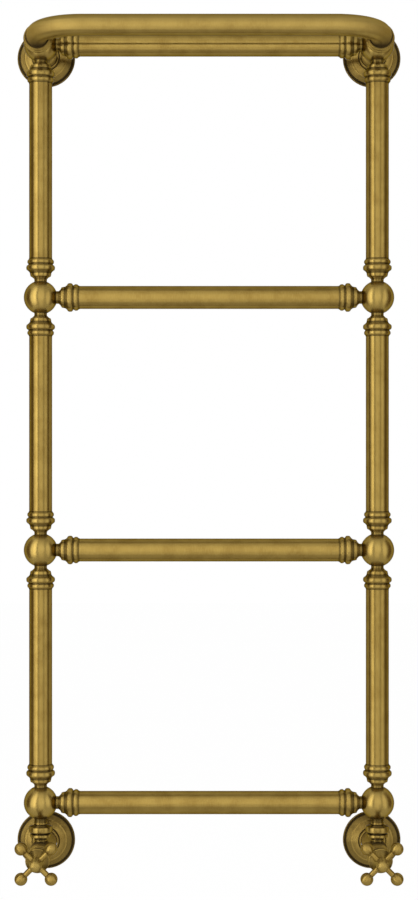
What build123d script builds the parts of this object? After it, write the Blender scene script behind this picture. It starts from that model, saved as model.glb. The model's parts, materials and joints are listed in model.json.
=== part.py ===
from build123d import *
from math import acos, asin, cos, pi, radians, sin, sqrt
import os

# Water-heated towel rail in turned brass: two uprights and four cross rails meet at eight balls,
# a rounded hoop stands forward of the top rail, and an angle valve feeds each upright.
# Millimetres. X runs along the rails, Z up, the wall is the plane Y = 0 and the front faces -Y.
# The origin lies on the wall, level with the top rail and midway between its two wall plates.

# Rail frame
RAIL_CENTRES = 400.0
LEVEL_PITCH = 300.0
LEVEL_COUNT = 4
VALVE_DROP = 60.0
WALL_DISTANCE = 80.0

# Tubes
TUBE_RADIUS = 13.65
TUBE_WALL = 1.5
HOOP_RADIUS = 12.2
HOOP_WALL = 1.5
HOOP_REACH = 103.5
HOOP_BEND_RADIUS = 56.0

# Balls and their drilled ports
BALL_PROUD = 6.35
BALL_RADIUS = TUBE_RADIUS + BALL_PROUD
SPOTFACE_DEPTH = 0.1
SPOTFACE_MARGIN = 0.1
BLIND_PORT_FLOOR = 11.0

# Turned collars, lengths measured in order from the ball outwards
SPIGOT_RADIUS = 6.5
SPIGOT_LENGTH = 6.4
WATERWAY_RADIUS = 4.5
NECK_RADIUS = 7.5
NECK_LENGTH = 3.1
FLARE_LENGTH = 3.8
FLARE_INSET = 1.65
SHOULDER_LENGTH = 3.0
SHOULDER_INSET = 1.05
BIG_BEAD_RISE = 5.7
BIG_BEAD_LAND = 2.4
BIG_BEAD_FALL = 2.8
BIG_BEAD_HEIGHT = 3.35
GROOVE_HEIGHT = 1.05
SMALL_BEAD_RISE = 1.8
SMALL_BEAD_LAND = 1.8
SMALL_BEAD_FALL = 3.3
SMALL_BEAD_HEIGHT = 2.15
MOUTH_HEIGHT = 0.25
TUBE_SOCKET_DEPTH = 14.0

# Fits between fixed turned parts and between moving ones
SOLDER_CLEARANCE = 0.05
RUNNING_CLEARANCE = 0.06

# Wall plates and rosettes
ROSETTE_RADIUS = 35.5
ROSETTE_RIM = 3.0
ROSETTE_ROUNDING = 1.4
ROSETTE_RIDGE_RADIUS = 25.0
ROSETTE_RIDGE_DEPTH = 8.5
ROSETTE_STEP_MARGIN = 3.5
ROSETTE_STEP_DEPTH = 11.5
ROSETTE_LIP_WALL = 2.0
ROSETTE_DEPTH = 15.5
ROSETTE_WALL = 1.5
ROSETTE_HOLE_CLEARANCE = 0.3
WALL_PLATE_RADIUS = 24.0
WALL_PLATE_THICKNESS = 4.0
WALL_SPIGOT_LENGTH = 22.0
SCREW_HOLE_RADIUS = 2.75
SCREW_HOLE_OFFSET = 18.5
GRUB_RADIUS = 2.0
GRUB_LENGTH = 3.0
GRUB_KEY_RADIUS = 1.0
GRUB_KEY_DEPTH = 1.6
GRUB_FROM_WALL = 20.5

# Valve body: distances run along the valve's axis, forward of the plane of the uprights
VALVE_FRONT = 22.0
BARREL_RADIUS = 13.65
INLET_PIPE_RADIUS = 7.5
PIPE_CLEARANCE = 0.05
PIPE_SOCKET_DEPTH = 14.0
INLET_BORE_RADIUS = 6.5
TAIL_THREAD_RADIUS = 10.4
TAIL_THREAD_LENGTH = 6.0
TAIL_END_FROM_WALL = 5.0
INLET_NUT_INSET = 0.65
INLET_NUT_LENGTH = 9.0
INLET_NUT_LIP = 2.0
INLET_NUT_FROM_WALL = 0.3
OLIVE_RADIUS = 9.1
OLIVE_BITE = 1.6
SEAT_BEHIND = 8.0
SEAT_HEIGHT = 1.5
SEAT_BORE_RADIUS = 5.0
SEAT_LAND = 1.3
SEAT_WEB = 4.0
CHAMBER_RADIUS = 9.2

# Outlet boss and union below the lowest ball, heights measured up from the valve's axis
OUTLET_RADIUS = 4.8
BOSS_RADIUS = 6.8
BOSS_RING_Z = 14.8
BOSS_RING_HEIGHT = 1.6
BOSS_RING_PROUD = 0.6
BOSS_FLANGE_Z = 19.4
BOSS_FLANGE_HEIGHT = 3.8
BOSS_FLANGE_RADIUS = 12.65
BOSS_THREAD_RADIUS = 9.8
BOSS_TOP_Z = 27.6
UNION_WASHER_THICKNESS = 1.2
UNION_FLANGE_THICKNESS = 1.7
UNION_FLANGE_RADIUS = 9.5
UNION_NUT_GAP = 2.0
UNION_NUT_PROUD = 0.5
UNION_NUT_CHAMFER = 0.9
UNION_NUT_BEAD = 7.0
UNION_NUT_CONE = 1.7
UNION_NUT_MOUTH = 8.6
UNION_RING_HEIGHT = 2.2
UNION_RING_PROUD = 0.4
UNION_RING_ABOVE_NUT = 0.8

# Headwork: bonnet, gland, spindle and disc
BONNET_THREAD_LENGTH = 12.0
BONNET_FLANGE_STEP = 1.25
BONNET_FLANGE_LENGTH = 4.0
BONNET_NECK_RADIUS = 9.3
BONNET_NECK_LENGTH = 15.0
GUIDE_LENGTH = 15.0
GLAND_BORE_RADIUS = 6.5
GLAND_SHOULDER = 4.0
SPINDLE_RADIUS = 4.0
SPINDLE_THREAD_RADIUS = 3.2
SPINDLE_COLLAR_RADIUS = 6.3
SPINDLE_COLLAR_LENGTH = 3.0
COLLAR_END_PLAY = 0.1
PACKING_LENGTH = 3.0
GLAND_HEAD_RADIUS = 7.6
GLAND_HEAD_LENGTH = 2.0
DISC_LIFT = 4.0
DISC_RADIUS = 7.2
DISC_THICKNESS = 3.5
DISC_HEX_FLATS = 11.0
DISC_STEM_LENGTH = 18.5
DISC_BORE_FLOOR = 2.5
DISC_TIP_CLEARANCE = 1.0
WASHER_RADIUS = 6.8
WASHER_THICKNESS = 3.0
WASHER_PIN_RADIUS = 1.8

# Cross handle
BELL_GAP = 1.6
BELL_RADIUS = 14.2
BELL_WALL = 1.6
BELL_RIM = 1.5
BELL_LENGTH = 11.0
ARM_PLANE = 58.6
ARM_RADIUS = 3.3
ARM_REACH = 24.7
ARM_BALL_RADIUS = 7.5
ARM_BALL_BANDS = 8
ARM_COUNT = 4
HUB_RADIUS = 7.0
HUB_FRONT = 70.0
HUB_WEB = 2.0
HANDLE_SOCKET_FLOOR = 64.0
HANDLE_SCREW_RADIUS = 2.0
HANDLE_SCREW_LENGTH = 10.0
SCREW_HEAD_RADIUS = 3.6
SCREW_HEAD_LENGTH = 2.0
CAP_SPIGOT_RADIUS = 4.6
CAP_SPIGOT_LENGTH = 1.8
CAP_DOME = 5.0
CAP_INSET = 0.5
CAP_BANDS = 4

# Air vent in the top of the upper left ball
VENT_RADIUS = 4.0
VENT_DEPTH = 6.0
VENT_HEX_FLATS = 10.0
VENT_HEX_HEIGHT = 2.6
VENT_SCREW_RADIUS = 2.0
VENT_SCREW_DEPTH = 5.0
VENT_HEAD_RADIUS = 3.0
VENT_HEAD_HEIGHT = 2.0
VENT_HEAD_GAP = 0.3
VENT_SLOT_WIDTH = 0.8
VENT_SLOT_DEPTH = 1.0

# Places that follow from the sizes above
SIDES = {"left": -1, "right": 1}
STAGES = ("lower", "middle", "upper")
RAIL_NAMES = ("bottom_rail", "second_rail", "third_rail", "top_rail")
SEAT_DISTANCE = sqrt(BALL_RADIUS**2 - (NECK_RADIUS + SPOTFACE_MARGIN) ** 2) - SPOTFACE_DEPTH
COLLAR_LENGTH = (
    NECK_LENGTH + FLARE_LENGTH + SHOULDER_LENGTH
    + BIG_BEAD_RISE + BIG_BEAD_LAND + BIG_BEAD_FALL
    + SMALL_BEAD_RISE + SMALL_BEAD_LAND + SMALL_BEAD_FALL
)
TUBE_END = SEAT_DISTANCE + COLLAR_LENGTH - TUBE_SOCKET_DEPTH
TOP_LEVEL_Z = 0.0
FIRST_LEVEL_Z = TOP_LEVEL_Z - (LEVEL_COUNT - 1) * LEVEL_PITCH
VALVE_Z = FIRST_LEVEL_Z - VALVE_DROP
INLET_NUT_FLATS = 2 * (BARREL_RADIUS - INLET_NUT_INSET)
UNION_NUT_RADIUS = BARREL_RADIUS + UNION_NUT_PROUD
BONNET_FLANGE_RADIUS = BARREL_RADIUS - BONNET_FLANGE_STEP
UP = (0, 0, 1)
DOWN = (0, 0, -1)
FORWARD = (0, -1, 0)
BACK = (0, 1, 0)
ON_BASE = (Align.CENTER, Align.CENTER, Align.MIN)


def turned(profile):
    """Solid of revolution about Z from (height, radius) corners in order round its half section."""
    outline = Polyline([(radius, 0, height) for height, radius in profile], close=True)
    return revolve(make_face(outline), Axis.Z)


def hexagon(flats, length):
    """Hexagonal bar along Z, standing on the XY plane, from its width across flats."""
    return extrude(RegularPolygon(flats / 2, 6, major_radius=False), length)


def aimed(shape, origin, direction):
    """Move a shape modelled along Z so that it starts at origin and points in direction."""
    return Plane(origin=origin, z_dir=direction) * shape


def forward_from(side, shape):
    """Place a shape modelled along a valve's axis, with Z forward and Y up, on one side."""
    origin = (side * RAIL_CENTRES / 2, -WALL_DISTANCE, VALVE_Z)
    return Plane(origin=origin, x_dir=(1, 0, 0), z_dir=FORWARD) * shape


def above_valve(side, shape):
    """Place a shape modelled upright about Z, up from one valve's axis."""
    return Pos(side * RAIL_CENTRES / 2, -WALL_DISTANCE, VALVE_Z) * shape


def off_wall(side, height, shape):
    """Place a shape modelled off the wall along Z, with Y up, behind one upright."""
    return Plane(origin=(side * RAIL_CENTRES / 2, 0, height), x_dir=(1, 0, 0), z_dir=FORWARD) * shape


def both_sides(place, shape):
    """The same solid on the left and on the right."""
    return [place(side, shape) for side in SIDES.values()]


def level_height(level):
    """Height of one level's ball centres."""
    return FIRST_LEVEL_Z + level * LEVEL_PITCH


def ball_centre(side, level):
    """Centre of one ball."""
    return (side * RAIL_CENTRES / 2, -WALL_DISTANCE, level_height(level))


def inwards(side):
    """Direction from one upright towards the other."""
    return (-side, 0, 0)


def uprights_at(level):
    """Directions in which upright tubes leave the balls of a level."""
    if level == 0:
        return [UP]
    if level == LEVEL_COUNT - 1:
        return [DOWN]
    return [UP, DOWN]


def port(centre, direction, radius, floor=0.0):
    """Cutter for a drilled port and its flat seat on a ball, down to a floor above the centre."""
    drill = Pos(0, 0, floor) * Cylinder(radius, BALL_RADIUS, align=ON_BASE)
    seat_radius = NECK_RADIUS + SPOTFACE_MARGIN
    spotface = Cylinder(seat_radius, BALL_RADIUS, align=ON_BASE)
    return aimed(drill + Pos(0, 0, SEAT_DISTANCE) * spotface, centre, direction)


def ball_joint(side, level):
    """Ball drilled to its centre for each tube, with a blind port where only the wall holds it."""
    centre = ball_centre(side, level)
    ball = Pos(*centre) * Sphere(BALL_RADIUS)
    bore = SPIGOT_RADIUS + SOLDER_CLEARANCE
    for direction in uprights_at(level) + [inwards(side)]:
        ball -= port(centre, direction, bore)
    if level == 0:
        ball -= port(centre, DOWN, bore)
    if level == LEVEL_COUNT - 1:
        ball -= port(centre, FORWARD, bore)
        ball -= port(centre, BACK, bore, BLIND_PORT_FLOOR)
    if level == LEVEL_COUNT - 1 and side == SIDES["left"]:
        ball -= port(centre, UP, VENT_RADIUS + SOLDER_CLEARANCE)
    return ball


def collar(tube_radius):
    """Turned collar along Z from its ball's seat: spigot, neck, flare, two beads and tube socket."""
    lengths = (
        NECK_LENGTH, FLARE_LENGTH, SHOULDER_LENGTH,
        BIG_BEAD_RISE, BIG_BEAD_LAND, BIG_BEAD_FALL,
        SMALL_BEAD_RISE, SMALL_BEAD_LAND, SMALL_BEAD_FALL,
    )
    radii = (
        NECK_RADIUS, TUBE_RADIUS - FLARE_INSET, TUBE_RADIUS - SHOULDER_INSET,
        TUBE_RADIUS + BIG_BEAD_HEIGHT, TUBE_RADIUS + BIG_BEAD_HEIGHT, TUBE_RADIUS + GROOVE_HEIGHT,
        TUBE_RADIUS + SMALL_BEAD_HEIGHT, TUBE_RADIUS + SMALL_BEAD_HEIGHT, TUBE_RADIUS + MOUTH_HEIGHT,
    )
    profile = [(-SPIGOT_LENGTH, WATERWAY_RADIUS), (-SPIGOT_LENGTH, SPIGOT_RADIUS)]
    profile += [(0, SPIGOT_RADIUS), (0, NECK_RADIUS)]
    height = 0.0
    for length, radius in zip(lengths, radii):
        height += length
        profile.append((height, radius))
    socket_radius = tube_radius + SOLDER_CLEARANCE
    socket_floor = COLLAR_LENGTH - TUBE_SOCKET_DEPTH
    profile += [(COLLAR_LENGTH, socket_radius), (socket_floor, socket_radius)]
    profile.append((socket_floor, WATERWAY_RADIUS))
    return turned(profile)


def collar_at(side, level, direction, tube_radius=TUBE_RADIUS):
    """Collar seated on one ball, pointing in one direction."""
    x, y, z = ball_centre(side, level)
    dx, dy, dz = direction
    seat = (x + dx * SEAT_DISTANCE, y + dy * SEAT_DISTANCE, z + dz * SEAT_DISTANCE)
    return aimed(collar(tube_radius), seat, direction)


def tube(length, radius=TUBE_RADIUS, wall=TUBE_WALL):
    """Open tube along Z."""
    return turned([(0, radius - wall), (0, radius), (length, radius), (length, radius - wall)])


def upright_tube(side, stage):
    """Tube between two balls of one upright."""
    x, y, z = ball_centre(side, stage)
    return aimed(tube(LEVEL_PITCH - 2 * TUBE_END), (x, y, z + TUBE_END), UP)


def rail_tube(level):
    """Tube across the frame at one level."""
    x, y, z = ball_centre(SIDES["left"], level)
    return aimed(tube(RAIL_CENTRES - 2 * TUBE_END), (x + TUBE_END, y, z), inwards(SIDES["left"]))


def hoop_bend(side):
    """End of the hoop: a straight leg forward from one top ball, then a quarter bend inwards."""
    x = side * RAIL_CENTRES / 2
    start = -WALL_DISTANCE - TUBE_END
    front = -WALL_DISTANCE - HOOP_REACH
    leg = Line((x, start, TOP_LEVEL_Z), (x, front + HOOP_BEND_RADIUS, TOP_LEVEL_Z))
    bend = TangentArc(leg @ 1, (x - side * HOOP_BEND_RADIUS, front, TOP_LEVEL_Z), tangent=leg % 1)
    mouth = Plane(origin=leg @ 0, z_dir=FORWARD)
    outside = sweep(mouth * Circle(HOOP_RADIUS), path=leg + bend)
    inside = sweep(mouth * Circle(HOOP_RADIUS - HOOP_WALL), path=leg + bend)
    return outside - inside


def hoop_front():
    """Front tube of the hoop, butted between its two bends."""
    reach = RAIL_CENTRES / 2 - HOOP_BEND_RADIUS
    start = (-reach, -WALL_DISTANCE - HOOP_REACH, TOP_LEVEL_Z)
    return aimed(tube(2 * reach, HOOP_RADIUS, HOOP_WALL), start, inwards(SIDES["left"]))


def grub_place(side):
    """Plane on a standoff's axis at its grub screw, with Z pointing down."""
    origin = (side * RAIL_CENTRES / 2, -GRUB_FROM_WALL, TOP_LEVEL_Z)
    return Plane(origin=origin, z_dir=DOWN)


def standoff_tube(side):
    """Tube from the back of a top ball to its wall plate, tapped below for the grub screw."""
    length = WALL_DISTANCE - TUBE_END - WALL_PLATE_THICKNESS
    straight = off_wall(side, TOP_LEVEL_Z, Pos(0, 0, WALL_PLATE_THICKNESS) * tube(length))
    hole = Cylinder(GRUB_RADIUS + SOLDER_CLEARANCE, 2 * TUBE_RADIUS, align=ON_BASE)
    return straight - grub_place(side) * hole


def grub_screw(side):
    """Socket screw through the standoff tube, its tip on the wall plate's spigot."""
    tip = TUBE_RADIUS - TUBE_WALL - SOLDER_CLEARANCE
    screw = Cylinder(GRUB_RADIUS, GRUB_LENGTH, align=ON_BASE)
    key = Pos(0, 0, GRUB_LENGTH - GRUB_KEY_DEPTH) * hexagon(2 * GRUB_KEY_RADIUS, GRUB_KEY_DEPTH)
    return grub_place(side) * Pos(0, 0, tip) * (screw - key)


def wall_plate():
    """Round plate with two screw holes and a solid spigot that carries the standoff tube."""
    spigot_radius = TUBE_RADIUS - TUBE_WALL - SOLDER_CLEARANCE
    spigot_end = WALL_PLATE_THICKNESS + WALL_SPIGOT_LENGTH
    profile = [(0, 0), (0, WALL_PLATE_RADIUS), (WALL_PLATE_THICKNESS, WALL_PLATE_RADIUS)]
    profile += [(WALL_PLATE_THICKNESS, spigot_radius), (spigot_end, spigot_radius), (spigot_end, 0)]
    plate = turned(profile)
    for direction in (-1, 1):
        place = Pos(0, direction * SCREW_HOLE_OFFSET, WALL_PLATE_THICKNESS / 2)
        plate -= place * Cylinder(SCREW_HOLE_RADIUS, 2 * WALL_PLATE_THICKNESS)
    return plate


def rosette(sleeve_radius):
    """Pressed wall cover along Z from the wall: rim, sloped band, ridge, band, step and lip."""
    hole = sleeve_radius + ROSETTE_HOLE_CLEARANCE
    lip = hole + ROSETTE_LIP_WALL
    step = lip + ROSETTE_STEP_MARGIN / 2
    rim_inside = ROSETTE_RADIUS - ROSETTE_WALL
    return turned([
        (0, ROSETTE_RADIUS),
        (ROSETTE_RIM, ROSETTE_RADIUS),
        (ROSETTE_RIM + ROSETTE_ROUNDING, ROSETTE_RADIUS - ROSETTE_ROUNDING),
        (ROSETTE_RIDGE_DEPTH, ROSETTE_RIDGE_RADIUS),
        (ROSETTE_STEP_DEPTH, step),
        (ROSETTE_STEP_DEPTH, lip),
        (ROSETTE_DEPTH, lip),
        (ROSETTE_DEPTH, hole),
        (ROSETTE_STEP_DEPTH - ROSETTE_WALL, hole),
        (ROSETTE_RIDGE_DEPTH - ROSETTE_WALL, ROSETTE_RIDGE_RADIUS - ROSETTE_WALL),
        (ROSETTE_RIM, rim_inside),
        (0, rim_inside),
    ])


def valve_body():
    """Angle valve body along its axis: threaded tail, pipe socket, raised seat and chamber."""
    tail_end = -WALL_DISTANCE + TAIL_END_FROM_WALL
    shoulder = tail_end + TAIL_THREAD_LENGTH
    pipe_radius = INLET_PIPE_RADIUS + PIPE_CLEARANCE
    cone_end = tail_end + OLIVE_BITE + SOLDER_CLEARANCE
    pipe_stop = cone_end + PIPE_SOCKET_DEPTH
    chamber_floor = -SEAT_BEHIND - SEAT_HEIGHT
    seat_back = chamber_floor - SEAT_WEB
    barrel = turned([
        (tail_end, OLIVE_RADIUS + PIPE_CLEARANCE),
        (tail_end, TAIL_THREAD_RADIUS),
        (shoulder, TAIL_THREAD_RADIUS),
        (shoulder, BARREL_RADIUS),
        (VALVE_FRONT, BARREL_RADIUS),
        (VALVE_FRONT, CHAMBER_RADIUS),
        (chamber_floor, CHAMBER_RADIUS),
        (chamber_floor, SEAT_BORE_RADIUS + SEAT_LAND),
        (-SEAT_BEHIND, SEAT_BORE_RADIUS + SEAT_LAND),
        (-SEAT_BEHIND, SEAT_BORE_RADIUS),
        (seat_back, SEAT_BORE_RADIUS),
        (seat_back, INLET_BORE_RADIUS),
        (pipe_stop, INLET_BORE_RADIUS),
        (pipe_stop, pipe_radius),
        (cone_end, pipe_radius),
    ])
    return barrel


def outlet_boss():
    """Outlet on top of the valve body: neck with a fine ring, flange and union thread."""
    ring_top = BOSS_RING_Z + BOSS_RING_HEIGHT
    flange_top = BOSS_FLANGE_Z + BOSS_FLANGE_HEIGHT
    root = (CHAMBER_RADIUS + BARREL_RADIUS) / 2
    return turned([
        (root, OUTLET_RADIUS),
        (root, BOSS_RADIUS),
        (BOSS_RING_Z, BOSS_RADIUS),
        (BOSS_RING_Z, BOSS_RADIUS + BOSS_RING_PROUD),
        (ring_top, BOSS_RADIUS + BOSS_RING_PROUD),
        (ring_top, BOSS_RADIUS),
        (BOSS_FLANGE_Z, BOSS_RADIUS),
        (BOSS_FLANGE_Z, BOSS_FLANGE_RADIUS),
        (flange_top, BOSS_FLANGE_RADIUS),
        (flange_top, BOSS_THREAD_RADIUS),
        (BOSS_TOP_Z, BOSS_THREAD_RADIUS),
        (BOSS_TOP_Z, OUTLET_RADIUS),
    ])


def whole_valve_body(side):
    """Valve body with its outlet boss, the outlet drilled down into the chamber."""
    barrel = forward_from(side, valve_body())
    drill = Cylinder(OUTLET_RADIUS, BOSS_TOP_Z, align=ON_BASE)
    return barrel - above_valve(side, drill) + above_valve(side, outlet_boss())


def inlet_nut():
    """Compression nut on the valve's tail, hidden in the rosette."""
    back = -WALL_DISTANCE + INLET_NUT_FROM_WALL
    lip = back + INLET_NUT_LIP
    front = back + INLET_NUT_LENGTH
    hole = INLET_PIPE_RADIUS + PIPE_CLEARANCE
    thread = TAIL_THREAD_RADIUS + SOLDER_CLEARANCE
    bar = Pos(0, 0, back) * hexagon(INLET_NUT_FLATS, INLET_NUT_LENGTH)
    cavity = [(back, 0), (back, hole), (lip, hole), (lip, thread), (front, thread), (front, 0)]
    return bar - turned(cavity)


def inlet_olive():
    """Compression ring between the tail's cone and the nut's lip."""
    tail_end = -WALL_DISTANCE + TAIL_END_FROM_WALL
    tip = tail_end + OLIVE_BITE
    lip = -WALL_DISTANCE + INLET_NUT_FROM_WALL + INLET_NUT_LIP
    hole = INLET_PIPE_RADIUS + PIPE_CLEARANCE
    edge = hole + SOLDER_CLEARANCE
    back_radius = OLIVE_RADIUS - PIPE_CLEARANCE
    return turned([(lip, hole), (lip, back_radius), (tail_end, OLIVE_RADIUS), (tip, edge), (tip, hole)])


def union_nut():
    """Round union nut: a wide bead with a coned top round the tail piece."""
    shoulder = BOSS_TOP_Z + UNION_WASHER_THICKNESS + UNION_FLANGE_THICKNESS
    bottom = BOSS_FLANGE_Z + BOSS_FLANGE_HEIGHT + UNION_NUT_GAP
    bead_top = bottom + UNION_NUT_BEAD
    top = bead_top + UNION_NUT_CONE
    thread = BOSS_THREAD_RADIUS + SOLDER_CLEARANCE
    hole = NECK_RADIUS + SOLDER_CLEARANCE
    return turned([
        (bottom, thread),
        (bottom, UNION_NUT_RADIUS - UNION_NUT_CHAMFER),
        (bottom + UNION_NUT_CHAMFER, UNION_NUT_RADIUS),
        (bead_top - UNION_NUT_CHAMFER, UNION_NUT_RADIUS),
        (bead_top, UNION_NUT_RADIUS - UNION_NUT_CHAMFER),
        (top, UNION_NUT_MOUTH),
        (top, hole),
        (shoulder, hole),
        (shoulder, thread),
    ])


def union_tail():
    """Tail piece from the union up into the lowest ball, held by its flange under the nut."""
    seat = VALVE_DROP - SEAT_DISTANCE
    foot = BOSS_TOP_Z + UNION_WASHER_THICKNESS
    flange_top = foot + UNION_FLANGE_THICKNESS
    nut_top = BOSS_FLANGE_Z + BOSS_FLANGE_HEIGHT + UNION_NUT_GAP + UNION_NUT_BEAD + UNION_NUT_CONE
    ring = nut_top + UNION_RING_ABOVE_NUT
    ring_radius = NECK_RADIUS + UNION_RING_PROUD
    return turned([
        (foot, OUTLET_RADIUS),
        (foot, UNION_FLANGE_RADIUS),
        (flange_top, UNION_FLANGE_RADIUS),
        (flange_top, NECK_RADIUS),
        (ring, NECK_RADIUS),
        (ring, ring_radius),
        (ring + UNION_RING_HEIGHT, ring_radius),
        (ring + UNION_RING_HEIGHT, NECK_RADIUS),
        (seat, NECK_RADIUS),
        (seat, SPIGOT_RADIUS),
        (seat + SPIGOT_LENGTH, SPIGOT_RADIUS),
        (seat + SPIGOT_LENGTH, OUTLET_RADIUS),
    ])


def union_washer():
    """Flat fibre washer between the boss and the tail piece."""
    width = UNION_FLANGE_RADIUS - OUTLET_RADIUS
    return Pos(0, 0, BOSS_TOP_Z) * tube(UNION_WASHER_THICKNESS, UNION_FLANGE_RADIUS, width)


# Stations of the headwork along the valve's axis
BONNET_BACK = VALVE_FRONT - BONNET_THREAD_LENGTH
BONNET_NECK = VALVE_FRONT + BONNET_FLANGE_LENGTH
BONNET_END = BONNET_NECK + BONNET_NECK_LENGTH
GUIDE_END = BONNET_BACK + GUIDE_LENGTH
GLAND_FLOOR = GUIDE_END + GLAND_SHOULDER
COLLAR_END = GLAND_FLOOR + COLLAR_END_PLAY + SPINDLE_COLLAR_LENGTH
PACKING_BACK = COLLAR_END + COLLAR_END_PLAY
GLAND_NUT_BACK = PACKING_BACK + PACKING_LENGTH
GLAND_NUT_FRONT = BONNET_END + GLAND_HEAD_LENGTH
DISC_BACK = -SEAT_BEHIND + WASHER_THICKNESS
STEM_BACK = DISC_BACK + DISC_THICKNESS
SPINDLE_TIP = STEM_BACK + DISC_BORE_FLOOR + DISC_LIFT + DISC_TIP_CLEARANCE
BELL_BACK = GLAND_NUT_FRONT - BELL_GAP
BELL_FRONT = BELL_BACK + BELL_LENGTH


def bonnet():
    """Headwork body: thread into the valve, flange, neck, hexagonal guide and gland bore."""
    spindle_hole = SPINDLE_RADIUS + RUNNING_CLEARANCE
    shell = turned([
        (BONNET_BACK, 0),
        (BONNET_BACK, CHAMBER_RADIUS - SOLDER_CLEARANCE),
        (VALVE_FRONT, CHAMBER_RADIUS - SOLDER_CLEARANCE),
        (VALVE_FRONT, BONNET_FLANGE_RADIUS),
        (BONNET_NECK, BONNET_FLANGE_RADIUS),
        (BONNET_NECK, BONNET_NECK_RADIUS),
        (BONNET_END, BONNET_NECK_RADIUS),
        (BONNET_END, GLAND_BORE_RADIUS),
        (GLAND_FLOOR, GLAND_BORE_RADIUS),
        (GLAND_FLOOR, spindle_hole),
        (GUIDE_END, spindle_hole),
        (GUIDE_END, 0),
    ])
    guide = hexagon(DISC_HEX_FLATS + 2 * RUNNING_CLEARANCE, GUIDE_LENGTH)
    return shell - Pos(0, 0, BONNET_BACK) * guide


def gland_nut():
    """Gland nut that presses the packing and keeps the spindle in."""
    hole = SPINDLE_RADIUS + RUNNING_CLEARANCE
    stem = GLAND_BORE_RADIUS - SOLDER_CLEARANCE
    return turned([
        (GLAND_NUT_BACK, hole),
        (GLAND_NUT_BACK, stem),
        (BONNET_END, stem),
        (BONNET_END, GLAND_HEAD_RADIUS),
        (GLAND_NUT_FRONT, GLAND_HEAD_RADIUS),
        (GLAND_NUT_FRONT, hole),
    ])


def gland_packing():
    """Soft ring round the spindle under the gland nut."""
    hole = SPINDLE_RADIUS + RUNNING_CLEARANCE
    outside = GLAND_BORE_RADIUS - SOLDER_CLEARANCE
    return Pos(0, 0, PACKING_BACK) * tube(PACKING_LENGTH, outside, outside - hole)


def spindle():
    """Spindle that turns without rising: threaded tail, collar, shaft and tapped end."""
    shank = HANDLE_SCREW_RADIUS + SOLDER_CLEARANCE
    thread_end = GUIDE_END - COLLAR_END_PLAY
    collar_back = GLAND_FLOOR + COLLAR_END_PLAY
    shaft = turned([
        (SPINDLE_TIP, 0),
        (SPINDLE_TIP, SPINDLE_THREAD_RADIUS),
        (thread_end, SPINDLE_THREAD_RADIUS),
        (thread_end, SPINDLE_RADIUS),
        (collar_back, SPINDLE_RADIUS),
        (collar_back, SPINDLE_COLLAR_RADIUS),
        (COLLAR_END, SPINDLE_COLLAR_RADIUS),
        (COLLAR_END, SPINDLE_RADIUS),
        (HANDLE_SOCKET_FLOOR, SPINDLE_RADIUS),
        (HANDLE_SOCKET_FLOOR, 0),
    ])
    depth = HANDLE_SCREW_LENGTH
    hole = Cylinder(shank, depth, align=ON_BASE)
    return shaft - Pos(0, 0, HANDLE_SOCKET_FLOOR - depth) * hole


def disc_holder():
    """Disc on a hexagonal stem that slides in the bonnet and is threaded on the spindle."""
    disc = Pos(0, 0, DISC_BACK) * Cylinder(DISC_RADIUS, DISC_THICKNESS, align=ON_BASE)
    stem = Pos(0, 0, STEM_BACK) * hexagon(DISC_HEX_FLATS, DISC_STEM_LENGTH)
    pin = Pos(0, 0, -SEAT_BEHIND) * Cylinder(WASHER_PIN_RADIUS, WASHER_THICKNESS, align=ON_BASE)
    bore_length = DISC_STEM_LENGTH - DISC_BORE_FLOOR
    bore_radius = SPINDLE_THREAD_RADIUS + RUNNING_CLEARANCE
    bore = Cylinder(bore_radius, bore_length, align=ON_BASE)
    return disc + stem + pin - Pos(0, 0, STEM_BACK + DISC_BORE_FLOOR) * bore


def disc_washer():
    """Rubber washer that closes on the seat."""
    hole = WASHER_PIN_RADIUS + SOLDER_CLEARANCE
    return Pos(0, 0, -SEAT_BEHIND) * tube(WASHER_THICKNESS, WASHER_RADIUS, WASHER_RADIUS - hole)


def ball_ended_arm():
    """Arm along Z from the hub's axis, its ball end turned in bands."""
    start = asin(ARM_RADIUS / ARM_BALL_RADIUS)
    profile = [(0, 0), (0, ARM_RADIUS)]
    for band in range(ARM_BALL_BANDS):
        angle = start + (pi - start) * band / ARM_BALL_BANDS
        profile.append((ARM_REACH - ARM_BALL_RADIUS * cos(angle), ARM_BALL_RADIUS * sin(angle)))
    profile.append((ARM_REACH + ARM_BALL_RADIUS, 0))
    return turned(profile)


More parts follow.
